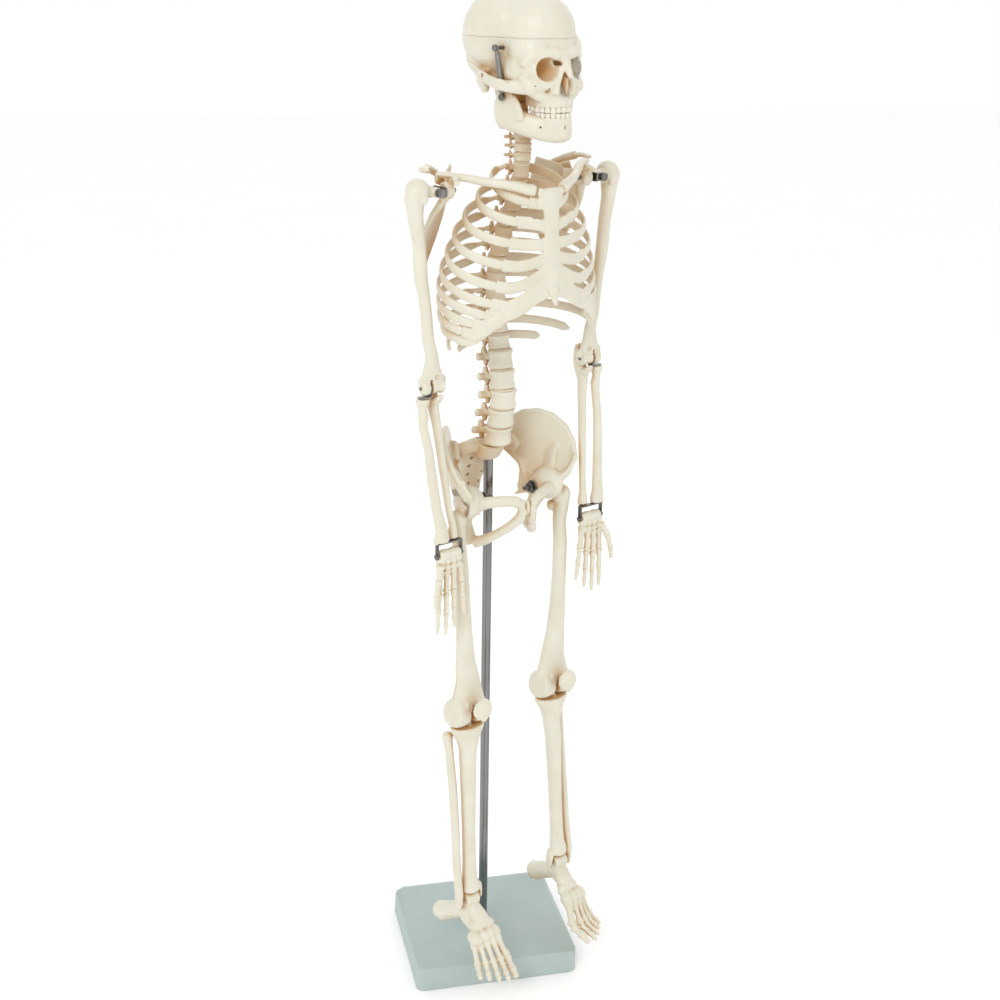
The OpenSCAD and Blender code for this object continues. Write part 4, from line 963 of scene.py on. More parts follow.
def make_hip_bone():
    h = hip
    piece = start_bone("hip_bone")
    crest = [V(58.6, -42.5, -1), V(61, -35, 11), V(60.2, -25, 22.5), V(55, -14, 30.5), V(47, -4.5, 33.5),
             V(38.5, 4, 32), V(30.5, 12.5, 25), V(25, 19, 15), V(22.5, 21.5, 7)]
    foot = [V(50.5, -41, -15), V(46.5, -37, -20), V(42, -30, -19), V(38, -20, -17.5), V(35, -10.5, -15),
            V(32.5, -2, -10.5), V(30, 5, -6), V(28, 11, -1), V(25.5, 16, 3)]
    rows = []
    for j in range(13):
        v = j / 12
        row = []
        for i in range(17):
            u = i / 16 * 8
            a, b = int(min(u, 7)), u - int(min(u, 7))
            low, high = mix(foot[a], foot[a + 1], b), mix(crest[a], crest[a + 1], b)
            bulge = 2.2 * math.sin(math.pi * v ** 0.8) * math.sin(math.pi * u / 8)
            row.append(mix(low, high, v) + V(0.86, 0.42, -0.1) * bulge)
        rows.append(row)
    blade(rows, 4.6)
    strand([(mix(crest[0], foot[0], 0.08) + V(1.2, 0.8, -0.6), 2.4, 2.4)]
           + [(p + V(1.9, 1.0, -1.2), 2.9 if 1 < i < 5 else 2.6, 2.6) for i,
              p in enumerate(crest) if 0 < i < 8]
           + [(crest[8] + V(1, 0.6, -0.6), 2.4, 2.2)], side=(1, 0, 0))
    knob(crest[0] + V(-0.4, 0.2, 0.4), (2.6, 2.6, 3.4))
    # front edge with its lower spine, thick pillar to the crest, and the joint with the sacrum
    strand([(crest[0], 2.2, 2.2), (V(55, -42, -7), 2.1, 2.0), (V(51.4, -41.8, -12.4), 3.2, 2.8),
            (V(48, -36, -18), 4.6, 4.2), (h + V(0, -4, 4), 6, 6)])
    strand([(h + V(3, 4, 8), 9.5, 5.5), (V(50, -18, 0), 10, 3.6), (V(57.4, -18.5, 12), 6, 2.2),
            (V(61.4, -20, 22), 3.4, 2.0)],
           side=(0, 1, 0))
    strand([(V(33, 2, 1), 5, 4.4), (V(28.6, 8, 6), 7.5, 4.6), (V(26, 13, 9), 7.5, 4.2),
            (V(24.2, 18, 9), 4.6, 3.2)],
           side=(0, 0, 1), corners=16)
    # flat inner wall behind the socket
    wall = [[V(31, 4, -5), V(31.6, -6, -12), V(32.6, -16, -16), V(34, -26, -18), V(36.5, -36, -20)],
            [V(32, -1, -16), V(32.4, -8, -20), V(32.6, -16, -24), V(33.4, -25, -24), V(35, -34, -24)],
            [V(30.6, 0.4, -34), V(31.6, -6, -36), V(32.4, -14, -36), V(33, -22, -34), V(34, -30, -30)]]
    blade(wall, 3.4)
    # rim of the notch behind the socket
    strand([(V(25.6, 15, 2), 2.6, 2.2), (V(29.6, 6, -4.6), 2.8, 2.6), (V(33, -2, -10), 3.6, 3.2),
            (V(34, -7, -18), 5, 4.4), (V(34, -9, -27), 5.4, 4.8)])
    # socket
    knob(h + V(-3.2, 0.6, 0), 13.2)
    strand([(h + V(-4, 0, 0), 14.0, 14.0), (h + V(1.5, 0.4, 0.4), 14.2, 14.2),
            (h + V(4.4, 0.8, 0.8), 13.4, 13.4)],
           side=(0, 1, 0), corners=28)
    # front arm to the symphysis, and the arm below it
    strand([(h + V(-4, -6, -1), 6.4, 5.4), (V(30, -41, -22.5), 5.0, 4.2), (V(21, -47, -21.5), 4.6, 3.8),
            (V(12, -51, -22.5), 5.0, 3.8), (V(6, -52.6, -26), 5.0, 3.8), (V(5, -52.6, -31), 4.6, 3.8),
            (V(6, -50.8, -38), 4.6, 3.4), (V(11.5, -45, -46), 4.2, 3.0), (V(18.5, -37.5, -53), 4.0, 2.8),
            (V(25, -29, -59.5), 4.6, 3.4), (V(30.5, -21, -63), 5.2, 4.8)], side=(0, 0, 1), corners=16)
    knob(V(11, -54, -19.6), (2.2, 1.8, 1.8))
    # seat bone
    strand([(h + V(-5, 5, -6), 9.0, 8.0), (V(37, -18, -39), 6.6, 6.0), (V(34.6, -14.4, -48), 6.0, 5.6),
            (V(32.6, -14.6, -57), 6.8, 6.2), (V(31.6, -17, -62), 6.0, 5.4), (V(31, -19, -65), 3.6, 3.4)], corners=18)
    strand([(V(34.5, -8.5, -33), 4.0, 3.4), (V(31, -2.6, -37), 2.4, 1.8), (V(28.6, 0.6, -39), 1.1, 1.0)])
    fuse(piece, 0.74, 16)
    cutter = start_bone("cutter")
    knob(h, 10.9)
    strand([(h + V(-0.2, 0, 0), 10.9, 10.9), (h + V(12, 0, 0), 14.2, 14.2), (h + V(30, 0, 0), 22, 22)],
           side=(0, 1, 0),
           corners=32)
    strand([(h + V(-1, 1, -6), 5, 6.4), (h + V(2, 1, -17), 4.6, 6.4)], side=(0, 1, 0))
    strand([(h + V(-30, 0, 0), 2.2, 2.2), (h + V(10, 0, 0), 2.2, 2.2)], side=(0, 1, 0))
    strand([((-9, -60, -70), 11, 14), ((-9, -60, 0), 11, 14)], side=(1, 0, 0), corners=4)
    carve(piece, cutter)
    right = copied(piece, "hip_bone_right_side")
    piece.name = "hip_bone_left_side"
    set_in_place(piece, skeleton, ivory, "bone_plastic", "trunk", "hip_bone_left")
    set_in_place(right, skeleton @ mirrored, ivory, "bone_plastic", "trunk", "hip_bone_right")


make_hip_bone()


def make_front_disc():
    piece = start_bone("front_disc")
    strand([((-1.9, -51.4, -30), 5.4, 2.6), ((-1.2, -51.4, -30), 6.0, 3.1), ((0, -51.6, -30), 6.3, 3.3),
            ((1.2, -51.4, -30), 6.0, 3.1), ((1.9, -51.4, -30), 5.4, 2.6)], side=(0, 0, 1), corners=24)
    bpy.ops.object.mode_set(mode="OBJECT")
    set_in_place(piece, skeleton, gristle_plastic, "disc_plastic", "trunk", "pubic_disc")


make_front_disc()

# ---- Legs --------------------------------------------------------------------------------
# Thigh, shin and foot are ivory mouldings on steel pins: a bolt in the hip, a pin through
# the knee and one through the ankle. The knee cap has a short screw of its own.

knee, ankle = joint_place("knee_bend_left"), joint_place("ankle_bend_left")


def make_thigh():
    h, k = hip, knee
    piece = start_bone("thigh_bone")
    t = h + V(12.2, -4, -12)
    knob(h, 10.4)
    strand([(h + V(3, -0.8, -3), 6.8, 6.4), (h + V(6, -1.8, -6.4), 5.8, 5.6),
            (t + V(-2, 0.4, -2), 6.6, 6.4)], side=(0, 1, 0))
    strand([(t + V(0.5, 1, 7.4), 2.6, 3.6), (t + V(0.5, 1, 5.6), 3.9, 5.0), (t + V(0.2, 0.4, 1), 5.3, 6.8),
            (t + V(-0.6, 0, -6), 6.2, 7.0), (t + V(-1.4, 0, -13), 6.2, 6.6), (t + V(-2.6, 0, -22), 5.7, 5.9),
            (mix(t, k, 0.24) + V(-0.8, -1.4, 0), 6.1, 6.1), (mix(t, k, 0.42) + V(-0.4, -2.0, 0), 6.0, 6.2),
            (mix(t, k, 0.58) + V(0, -1.6, 0), 7.0, 6.6), (mix(t, k, 0.72) + V(0, -1, 0), 8.8, 7.2),
            (k + V(0, 0, 28), 11.2, 7.8), (k + V(0, 0, 19), 13.4, 8.2), (k + V(0, 0, 12), 15.4, 8.8),
            (k + V(0, 0.4, 6), 16.2, 9.2), (k + V(0, 0.6, 2), 16.4, 9.4)], corners=22)
    knob(h + V(6.0, 2.6, -22), (4.0, 4.0, 5.0))
    knob(t + V(0.4, 0.4, 0.5), (6.6, 8.0, 8.4))
    knob(t + V(0.6, 4.2, 2.0), (4.2, 3.6, 5.6))
    strand([(t + V(0, 5.6, 2), 1.6, 1.6), (t + V(-3, 6.2, -6), 1.5, 1.4), (h + V(6.2, 3.6, -21), 1.6, 1.5)])
    strand([(mix(t, k, 0.2) + V(-1, 4.6, 0), 1.2, 1.4), (mix(t, k, 0.5) + V(0, 4.2, 0), 1.2, 1.6),
            (mix(t, k, 0.72) + V(0, 4.4, 0), 1.2, 1.4)])
    # two rounded runners of the knee and the groove for the knee cap
    for s in (-1, 1):
        strand([(k + V(s * 3.6, 0.6, 0.2), 11.4, 10.8), (k + V(s * 5.6, 0.6, 0), 12.6, 12.4),
                (k + V(s * 11, 0.4, 0), 12.8, 12.8), (k + V(s * 15, 0.2, 0.2), 12.0, 12.0),
                (k + V(s * 16.8, 0, 0.6), 10.0, 10.2)], side=(0, 1, 0), corners=32)
        knob(k + V(s * 15.2, 0.5, 5.4), (1.9, 4.6, 4.4))
    strand([(k + V(-8, -3.4, 8), 7, 5.6), (k + V(0, -2.6, 8), 6.2, 5.6), (k + V(8, -3.4, 8), 7.4, 5.6)],
           side=(0, 1, 0))
    fuse(piece, 0.78, 5)
    cutter = start_bone("cutter")
    strand([(k + V(0, -1, -15), 3.0, 16), (k + V(0, -1, 3.0), 3.0, 16), (k + V(0, 0, 5.6), 2.4, 13)],
           corners=4)
    strand([(k + V(0, 16, 1), 4.4, 5.0), (k + V(0, 5, 2), 3.2, 6.4)], corners=16)
    strand([(h + V(-14, 0, 0), 2.2, 2.2), (h + V(-6, 0, 0), 2.2, 2.2)], side=(0, 1, 0))
    carve(piece, cutter)
    pair(piece, "thigh_bone", "thigh", "femur")

    piece = start_bone("knee_cap")
    p = k + V(0, -21, 9)
    strand([(p + V(0, -4.8, 0.4), 2.6, 3.2), (p + V(0, -4.2, 0.4), 5.6, 6.4), (p + V(0, -2.6, 0.3), 8.0, 8.8),
            (p + V(0, -0.4, 0), 9.2, 9.8), (p + V(0, 1.6, 0), 8.6, 9.0), (p + V(0, 3.2, 0.6), 5.4, 6.0)], corners=22)
    strand([(p + V(0, -3.4, -4), 5.0, 2.6), (p + V(0, -2.0, -8.6), 3.0, 2.2),
            (p + V(0, -1.2, -11.0), 1.3, 1.2)])
    fuse(piece, 0.5, 4)
    peg = start_bone("knee_cap_peg")
    strand([(p + V(0, 2, 0), 1.3, 1.3), (p + V(0, 10.8, 0), 1.3, 1.3)], corners=16)
    bpy.ops.object.mode_set(mode="OBJECT")
    piece = joined([piece, peg], "knee_cap")
    pair(piece, "knee_cap", "thigh", "patella")


make_thigh()


def make_shin():
    k, a = knee, ankle
    top = k + V(0, 0, -13.5)
    piece = start_bone("shin_bone")
    strand([(top + V(0, 0.4, 0), 14.6, 9.6), (top + V(0, 0.4, -0.7), 16.2, 11.0),
            (top + V(0, 0.2, -4), 16.0, 10.8),
            (top + V(0, -0.2, -9), 12.8, 10.0), (top + V(0, -0.6, -15), 9.8, 9.2), (top + V(0, -1, -24),
                                                                                    7.6, 8.2),
            (mix(top, a, 0.24), 7.0, 7.8), (mix(top, a, 0.4), 6.3, 7.2), (mix(top, a, 0.6) + V(0, 0.2, 0),
                                                                          5.8, 6.4),
            (mix(top, a, 0.78), 5.9, 6.1), (mix(top, a, 0.88), 6.9, 6.6), (a + V(-0.4, 0, 15), 7.8, 7.2),
            (a + V(-0.6, 0, 10.4), 8.8, 8.0), (a + V(-0.6, 0, 8.6), 8.2, 7.4)], corners=24)
    strand([(top + V(0, -8.6, -8), 3.2, 2.4), (top + V(0.4, -9.4, -14), 3.0, 2.6),
            (top + V(0.2, -8.0, -24), 1.8, 1.8),
            (mix(top, a, 0.3) + V(-0.6, -6.2, 0), 1.3, 1.3), (mix(top, a, 0.55) + V(-1.2, -4.8, 0), 1.1, 1.1)])
    # lug on the knee pin
    strand([(k + V(-2.4, 0, 0), 4.3, 4.3), (k + V(2.4, 0, 0), 4.3, 4.3)], side=(0, 1, 0), corners=24)
    strand([(k + V(0, 0, 0), 2.4, 4.0), (k + V(0, 0, -15), 2.4, 4.6)], corners=12)
    strand([(a + V(-8.6, 0, 13), 2.6, 4.6), (a + V(-9.8, 0, 6), 2.3, 4.4), (a + V(-10.2, 0, 0), 1.9, 3.6),
            (a + V(-10.0, 0, -2.6), 1.3, 2.2)])
    fuse(piece, 0.78, 4)
    cutter = start_bone("cutter")
    strand([(a + V(-7.3, 0, 0), 7.8, 7.8), (a + V(9.9, 0, 0), 7.8, 7.8)], side=(0, 1, 0), corners=32)
    carve(piece, cutter)
    pair(piece, "shin_bone", "shin", "tibia")

    piece = start_bone("calf_bone")
    low, high = a + V(11.6, 0, 0), k + V(15, 8, -25)
    strand([(high + V(0, 0, 4.8), 2.2, 2.2), (high + V(0, 0, 2.8), 4.6, 4.4), (high, 5.0, 4.8),
            (high + V(-0.2, -0.2, -3.4), 4.4, 4.2), (mix(high, low, 0.07) + V(-0.6, -0.4, 0), 3.7,
                                                     3.7), (mix(high, low, 0.3) + V(-1.2, -1, 0), 3.7, 4.0),
            (mix(high, low, 0.55) + V(-0.8, -0.8, 0), 3.7, 4.0), (mix(high, low, 0.8), 3.6, 3.9),
            (low + V(0.1, 0, 10), 3.5, 4.4), (low + V(0, 0, 3), 3.0, 4.6), (low + V(-0.1, 0, -3), 2.5, 3.8),
            (low + V(-0.2, 0, -7), 1.5, 2.2)], corners=16)
    fuse(piece, 0.6, 4)
    pair(piece, "calf_bone", "shin", "fibula")


make_shin()


def make_foot():
    a = ankle
    piece = start_bone("foot_bones")
    heel = a + V(4, 36, -31)
    # ankle bone on its pin
    strand([(a + V(-6.6, 0, 0), 6.4, 6.4), (a + V(-5.4, 0, 0), 7.2, 7.2), (a + V(0, 0, 0), 6.7, 6.7),
            (a + V(5.4, 0, 0), 7.2, 7.2), (a + V(6.6, 0, 0), 6.4, 6.4)], side=(0, 1, 0), corners=28)
    strand([(a + V(0, 3, -3), 6.8, 6.4), (a + V(-0.6, -5, -8), 6.8, 6.2), (a + V(-1.6, -11, -13), 7.6, 6.8),
            (a + V(-2.2, -15, -17), 7.4, 6.6), (a + V(-2.6, -19, -21), 6.4, 5.4)])
    # heel bone
    strand([(a + V(3.4, -12, -21.5), 6.0, 5.4), (a + V(2.6, -4, -17.2), 7.6, 7.0),
            (a + V(1.8, 4, -13.6), 7.6, 7.6),
            (a + V(2.6, 14, -18.4), 6.8, 7.8), (a + V(3.4, 25, -24.4), 6.8, 8.2), (heel + V(0, -3, 1), 8.0,
                                                                                   9.0),
            (heel + V(0, 2.6, -0.2), 7.8, 8.2), (heel + V(0, 6.2, -1.8), 5.4, 5.8)], corners=18)
    knob(heel + V(-2.5, 1.5, -4.6), (4.4, 5.0, 3.4))
    knob(a + V(1.2, 2, -11), (8.0, 11.0, 8.0))
    knob(a + V(0.6, -13, -20), (9.4, 9.0, 6.6))
    # small bones of the instep
    for x, y, z, rx, ry, rz in ((-5.0, -17.6, -19.8, 7.8, 5.6, 7.0), (-8.8, -24.0, -25.0, 5.4, 6.2, 6.4),
                                (-3.0, -24.6, -24.4, 4.6, 5.8, 6.2), (2.4, -23.8, -25.2, 4.8, 6.0, 6.0),
                                (8.4, -19.6, -27.0, 6.4, 8.4, 6.0)):
        knob(a + V(x, y, z), (rx, ry, rz))
    mtp_x, mtp_y = (-12.2, -4.8, 1.8, 8.2, 14.2), (-38, -41, -39, -36, -32)
    tip_x, tip_y = (-8.6, -0.4, 6.4, 12.6, 18), (-57, -57.5, -53, -47, -41)
    root = ((-8.6, -25.4, -26.6), (-3.2, -26.0, -26), (2.0, -25.4, -27), (6.6, -22.6, -28.4),
            (10.8, -20.4, -30))
    for i in range(5):
        mtp = a + V(mtp_x[i], mtp_y[i], -45.0 - 0.6 * i)
        start = a + V(*root[i])
        big = i == 0
        r = 4.6 if big else 3.4
        strand([(start, r * 0.9, r * 1.0), (mix(start, mtp, 0.14), r * 1.0, r * 1.08),
                (mix(start, mtp, 0.34), r * 0.74, r * 0.76),
                (mix(start, mtp, 0.66), r * 0.66, r * 0.68), (mix(start, mtp, 0.88), r * 0.98, r * 0.96),
                (mix(start, mtp, 0.985), r * 0.7, r * 0.7)], corners=14)
        tip = a + V(tip_x[i], tip_y[i], -53.2)
        middle = mix(mtp, tip, 0.56)
        steps = [mtp, middle, tip] if big else [mtp, middle, mix(mtp, tip, 0.8), tip]
        bar(mix(start, mtp, 0.95), mix(mtp, middle, 0.08), r * 0.45, r * 0.45, 8)
        digit(steps, r * 0.98)
    fuse(piece, 0.52, 3)
    pair(piece, "foot_bones", "foot", "foot")


make_foot()


def sunk_pin(name, at, half, r):
    """A plain steel pin whose ends stay below the plastic."""
    for side, place in (("_left", skeleton), ("_right", skeleton @ mirrored)):
        piece = start_bone(name + side + "_rod")
        strand([(at + V(-half, 0, 0), r * 0.8, r * 0.8), (at + V(0.4 - half, 0, 0), r, r),
                (at + V(half - 0.4, 0, 0), r, r), (at + V(half, 0, 0), r * 0.8, r * 0.8)], side=(0, 1, 0), corners=24)
        set_in_place(piece, place, dark_steel, "fastener_steel", "shin" + side, name + side)


sunk_pin("knee_pin", knee, 14.5, 1.55)
sunk_pin("ankle_pin", ankle, 11.2, 1.25)
for side in ("left", "right"):
    dress_fitting("hip_bolt_" + side, dark_steel)

# ---- Head --------------------------------------------------------------------------------
# The skull is moulded in thin ivory plastic: base and face in one, a lift-off cap, and a
# lower jaw hung on two springs. The teeth are whiter and set in as separate rows.

head_axis = Vector(joints["jaw_open"]["axis"])
head_axis = head_axis if head_axis.x > 0 else -head_axis
head_turn = math.atan2(head_axis.y, head_axis.x) - body_turn
head = skeleton @ Matrix.Translation((0, -30, head_z)) @ Matrix.Rotation(head_turn, 4, "Z")
parting_z, parting_gap = 41.0, 0.2
temple_screw, jaw_screw = V(36.6, -14, 34), V(29.6, -14, -1)
seam_y = -12.5


def mirror_strand(stations, **settings):
    for s in (-1, 1):
        strand([((s * p[0], p[1], p[2]), a, b) for p, a, b in stations], **settings)


def mirror_knob(at, radii):
    for s in (-1, 1):
        knob((s * at[0], at[1], at[2]), radii)


def braincase():
    """Outline of the skull: back, crown, forehead, temples and nape."""
    knob((0, 9, 41), (36.6, 35.2, 36.4))
    knob((0, 1, 44.6), (34.2, 40, 32.8))
    knob((0, -14, 43), (30.4, 34, 32.2))
    knob((0, 19, 26), (28, 23.5, 20.5))
    knob((0, 24, 40), (27, 19.8, 24))
    knob((0, -6, 24), (26, 28, 17))
    knob((0, -18, 37), (28.6, 29.4, 20))
    for s in (-1, 1):
        knob((s * 17.5, -27, 33), (13.5, 17, 14))


def make_skull():
    piece = start_bone("skull")
    braincase()
    # mass round the eyes, brow, bridge of the nose and rims of the eye sockets
    mirror_knob((14.6, -33, 19.6), (13.4, 13.4, 12.4))
    mirror_knob((20, -28, 16), (9.6, 11, 11))
    mirror_strand([((0, -45.4, 28.4), 4.4, 4.0), ((8, -45.6, 30.6), 4.6, 3.8),
                   ((16.6, -42.8, 31.4), 4.6, 3.8),
                   ((23.6, -37.4, 28.6), 4.4, 4.0), ((27.2, -32.6, 22.4), 4.0, 4.0), ((27.4, -32.4, 15),
                                                                                      4.0, 4.0),
                   ((25.6, -34.8, 9.6), 5.0, 4.8)], side=(0, 0, 1))
    strand([((0, -45, 30), 6.5, 3.2), ((0, -48.6, 25.4), 4.4, 3.2), ((0, -50.6, 20.4), 3.0, 3.0),
            ((0, -53.2, 15.8), 2.5, 2.2), ((0, -54.6, 13.4), 1.9, 1.5)], corners=16)
    mirror_strand([((3.2, -46.4, 22), 2.6, 4.4), ((5.8, -45.8, 15), 2.9, 5.0), ((8.8, -45.6, 8.4), 3.4, 5.4),
                   ((9.4, -45.6, 2.0), 3.8, 5.4)])
    mirror_strand([((7.0, -46.6, 12.6), 3.2, 2.8), ((13.6, -46.0, 9.4), 4.0, 3.0),
                   ((20.6, -42.0, 8.8), 4.4, 3.4),
                   ((25.8, -36.6, 10.0), 4.6, 3.8)], side=(0, 0, 1))
    # cheek bones and their arches
    mirror_knob((23.6, -37.4, 6.6), (6.2, 5.8, 5.8))
    mirror_strand([((12.6, -41, -1), 4.6, 4.4), ((18.4, -39.4, 2.6), 5.2, 4.6),
                   ((24.6, -35.6, 6.6), 5.0, 4.0)], side=(0, 0, 1))
    mirror_strand([((25, -34.6, 7.0), 5.6, 3.6), ((30.6, -27.4, 7.2), 5.0, 2.5), ((34.4, -20, 7.8), 4.6, 1.9),
                   ((35.9, -13, 8.8), 4.4, 1.8), ((35.6, -5, 10.6), 4.2, 1.8), ((33.6, 2.4, 12.8), 4.0, 2.2),
                   ((30.6, 6.4, 15.2), 3.4, 3.0)], side=(0, 0, 1))
    # upper jaw with the roots of its teeth
    strand([((0, -36, 16), 15.5, 8.5), ((0, -37, 8), 15, 9.6), ((0, -37, 2), 16.4, 12.4),
            ((0, -37, -3), 16.6, 14.0),
            ((0, -37, -7.6), 15.8, 13.6)], corners=28)
    strand([((0, -27, 3), 16.2, 10), ((0, -26.4, -7.4), 15.6, 8.8)], corners=20)
    mirror_knob((9.4, -45.6, -2), (1.6, 2.4, 4.6))
    mirror_knob((2.8, -50.2, -4), (1.8, 1.6, 3.6))
    mirror_knob((6.2, -48.8, -3.8), (1.6, 1.8, 3.6))
    strand([((0, -50.2, 0.6), 1.6, 1.8), ((0, -53.0, 1.6), 0.9, 0.9)])
    # side walls behind the eye sockets, wings under the jaw joint
    mirror_strand([((12, -28, 20), 10, 13), ((20, -25, 22), 9, 12), ((26.4, -19, 24), 6.5, 10)],
                  side=(0, 1, 0))
    mirror_knob((22, -20, 18), (9.4, 15, 13))
    mirror_strand([((9.5, -24, 10), 3.2, 4.6), ((9.8, -24.5, 1), 2.2, 4.4), ((10.2, -25, -5), 1.6, 3.2)],
                  side=(1, 0, 0))
    # bone behind the ear, ridge over the ear and the seat of the neck post
    mirror_strand([((28.2, 9, 17), 5.2, 6.6), ((28, 8.6, 9), 4.2, 5.6), ((26.8, 7.4, 3), 2.9, 3.8),
                   ((26.2, 6.8, 0.8), 1.8, 2.4)],
                  side=(1, 0, 0), corners=16)
    mirror_strand([((33.4, 3, 15), 1.4, 2.2), ((34.4, 12, 20), 1.0, 1.6), ((34.6, 20, 24), 0.7, 1.0)],
                  side=(0, 0, 1))
    mirror_strand([((6.4, -4, 8), 3.4, 5), ((6.6, -2, 3.0), 2.6, 4.4)], side=(1, 0, 0))
    strand([((0, 0, 1.0), 6.2, 6.2), ((0, 0, 9), 7.5, 7.5)], corners=24)
    strand([((0, 38, 22), 6, 1.8), ((0, 41.6, 26), 3.4, 2.4), ((0, 42.4, 30), 1.6, 1.2)])
    # temple line on each side
    mirror_strand([((27.0, -34, 31), 0.9, 0.9), ((28.6, -29, 37), 0.7, 0.8)])
    fuse(piece, 0.7, 9)
    cutter = start_bone("cutter")
    # eye sockets: rounded squares that narrow inwards
    for s in (-1, 1):
        strand([((s * 18.6, -60, 20.0), 10.6, 9.8), ((s * 16.4, -50, 20.0), 9.8, 9.0),
                ((s * 15.6, -45, 20.0), 9.2, 8.6),
                ((s * 15.4, -39, 20.2), 7.8, 7.4), ((s * 14.8, -33, 20.4), 5.6, 5.2), ((s * 14.2, -29, 20.6), 2.6, 2.6)],
               side=(1, 0, 0), corners=20)
        strand([((s * 15.2, -54, 6.0), 0.9, 0.9), ((s * 14.6, -43, 6.6), 0.7, 0.7)], corners=10)
        strand([((s * 40, 2.4, 13.0), 1.9, 1.9), ((s * 26, 1.0, 14.2), 1.5, 1.5)], corners=14)
        strand([((s * 25.4, -43.6, 8.6), 0.6, 0.6), ((s * 23.8, -38, 8.8), 0.5, 0.5)], corners=8)
        # hollow of the temple behind the rim of the eye
        knob((s * 35.6, -24.0, 17.6), (5.2, 6.6, 8.0))
    # pear-shaped opening of the nose
    strand([((0, -49, 14.6), 1.2, 6), ((0, -49, 12), 2.6, 7.4), ((0, -49, 8.4), 4.2, 8.2),
            ((0, -48.6, 4.0), 5.6, 8.4),
            ((0, -48.4, 1.2), 5.4, 8.0), ((0, -48.4, -0.4), 3.4, 6.6)], corners=20)
    # hollow under the palate
    strand([((0, -33.6, -9), 10.4, 11.0), ((0, -33.4, -4.2), 9.4, 10.2), ((0, -33, -2.4), 5.6, 6.2)],
           corners=20)
    strand([((0, 0, -4), 2.4, 2.4), ((0, 0, 10.4), 2.4, 2.4)], corners=24)
    carve(piece, cutter)
    apply_modifier(piece, "SMOOTH", factor=0.5, iterations=2)
    cutter = start_bone("cutter")
    knob((0, 9, 41), (33.4, 32, 33.2))
    knob((0, 1, 44.6), (31, 36.8, 29.6))
    knob((0, -13, 47), (26.6, 30.4, 26.6))
    knob((0, 19, 26), (24.8, 20.3, 17.3))
    knob((0, 24, 40), (23.8, 16.6, 20.8))
    fuse(cutter, 1.2, 8)
    carve(piece, cutter)

    cap = copied(piece, "skull_cap_shell")
    for part, level, keep_low in ((piece, parting_z, True), (cap, parting_z + parting_gap, False)):
        bpy.ops.object.select_all(action="DESELECT")
        bpy.context.view_layer.objects.active = part
        part.select_set(True)
        bpy.ops.object.mode_set(mode="EDIT")
        bpy.ops.mesh.select_all(action="SELECT")
        bpy.ops.mesh.bisect(plane_co=(0, 0, level), plane_no=(0, 0, 1), use_fill=True,
                            clear_outer=keep_low, clear_inner=not keep_low)
        bpy.ops.object.mode_set(mode="OBJECT")
    # raised mould seam over the crown
    bpy.context.view_layer.objects.active = cap
    bpy.ops.object.mode_set(mode="EDIT")
    shape = bmesh.from_edit_mesh(cap.data)
    inside = V(0, 4, 42)
    for v in shape.verts:
        off = abs(v.co.y - seam_y)
        if off < 1.0 and v.normal.dot(v.co - inside) > 0 and v.co.z > parting_z + 0.6:
            v.co += v.normal * 0.28 * (1 - off)
    bmesh.update_edit_mesh(cap.data)
    bpy.ops.object.mode_set(mode="OBJECT")
    set_in_place(piece, head, ivory, "bone_plastic", "head", "skull_base")
    set_in_place(cap, head, ivory, "bone_plastic", "cap", "skull_cap")
    # thin wall in the middle of the nose
    wall = start_bone("nose_wall")
    strand([((0.5, -48.6, 0.8), 0.5, 2.0), ((0.7, -46.6, 7), 0.55, 4.2), ((0, -48.4, 14.2), 0.5, 3.6)],
           side=(1, 0, 0), corners=10)
    strand([((0.3, -42, 1.4), 0.5, 6), ((0.3, -42, 13), 0.5, 6)], side=(1, 0, 0), corners=10)
    fuse(wall, 0.3, 3)
    wall.data.transform(head)
    dress(wall, ivory)
    for polygon in wall.data.polygons:
        polygon.use_smooth = True
    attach(wall, "head")


make_skull()


def enamel():
    material, shader_nodes, links = new_material("tooth_enamel")
    tree, shader = material.node_tree, shader_nodes["Principled BSDF"]
    soft = use_group(tree, mottle, Scale=160.0)
    edge_and_hollow_masks = use_group(tree, edge_and_painted_hollow_shade, Amount=0.8)
    body = mix_colour(tree, soft.outputs["Mask"], (0.73, 0.705, 0.60), (0.69, 0.655, 0.54))
    # painted shade: a warm brown laid in the hollows between and around the teeth
    body = mix_colour(tree, edge_and_hollow_masks.outputs["Hollows"], body, (0.62, 0.46, 0.28))
    links.new(body, shader.inputs["Base Color"])
    links.new(between(tree, soft.outputs["Mask"], 0.2, 0.3), shader.inputs["Roughness"])
    links.new(bump(tree, soft.outputs["Fine"], 0.06, 0.0002), shader.inputs["Normal"])
    shader.inputs["Subsurface Weight"].default_value = 0.15
    shader.inputs["Subsurface Radius"].default_value = (1.0, 0.6, 0.35)
    shader.inputs["Subsurface Scale"].default_value = 0.001
    return material


tooth_enamel = enamel()
# half widths of the teeth from the middle line back
tooth_sizes = [2.3, 1.95, 2.1, 2.05, 2.05, 2.75, 2.75]


def along_arch(distance, radius, straight):
    """Point and outward direction on the tooth arch, that far from the middle line."""
    quarter = math.pi / 2 * radius
    if distance <= quarter:
        a = distance / radius
        return V(radius * math.sin(a), -radius * math.cos(a), 0), V(math.sin(a), -math.cos(a), 0)
    return V(radius, (distance - quarter) * straight, 0), V(1, 0, 0)


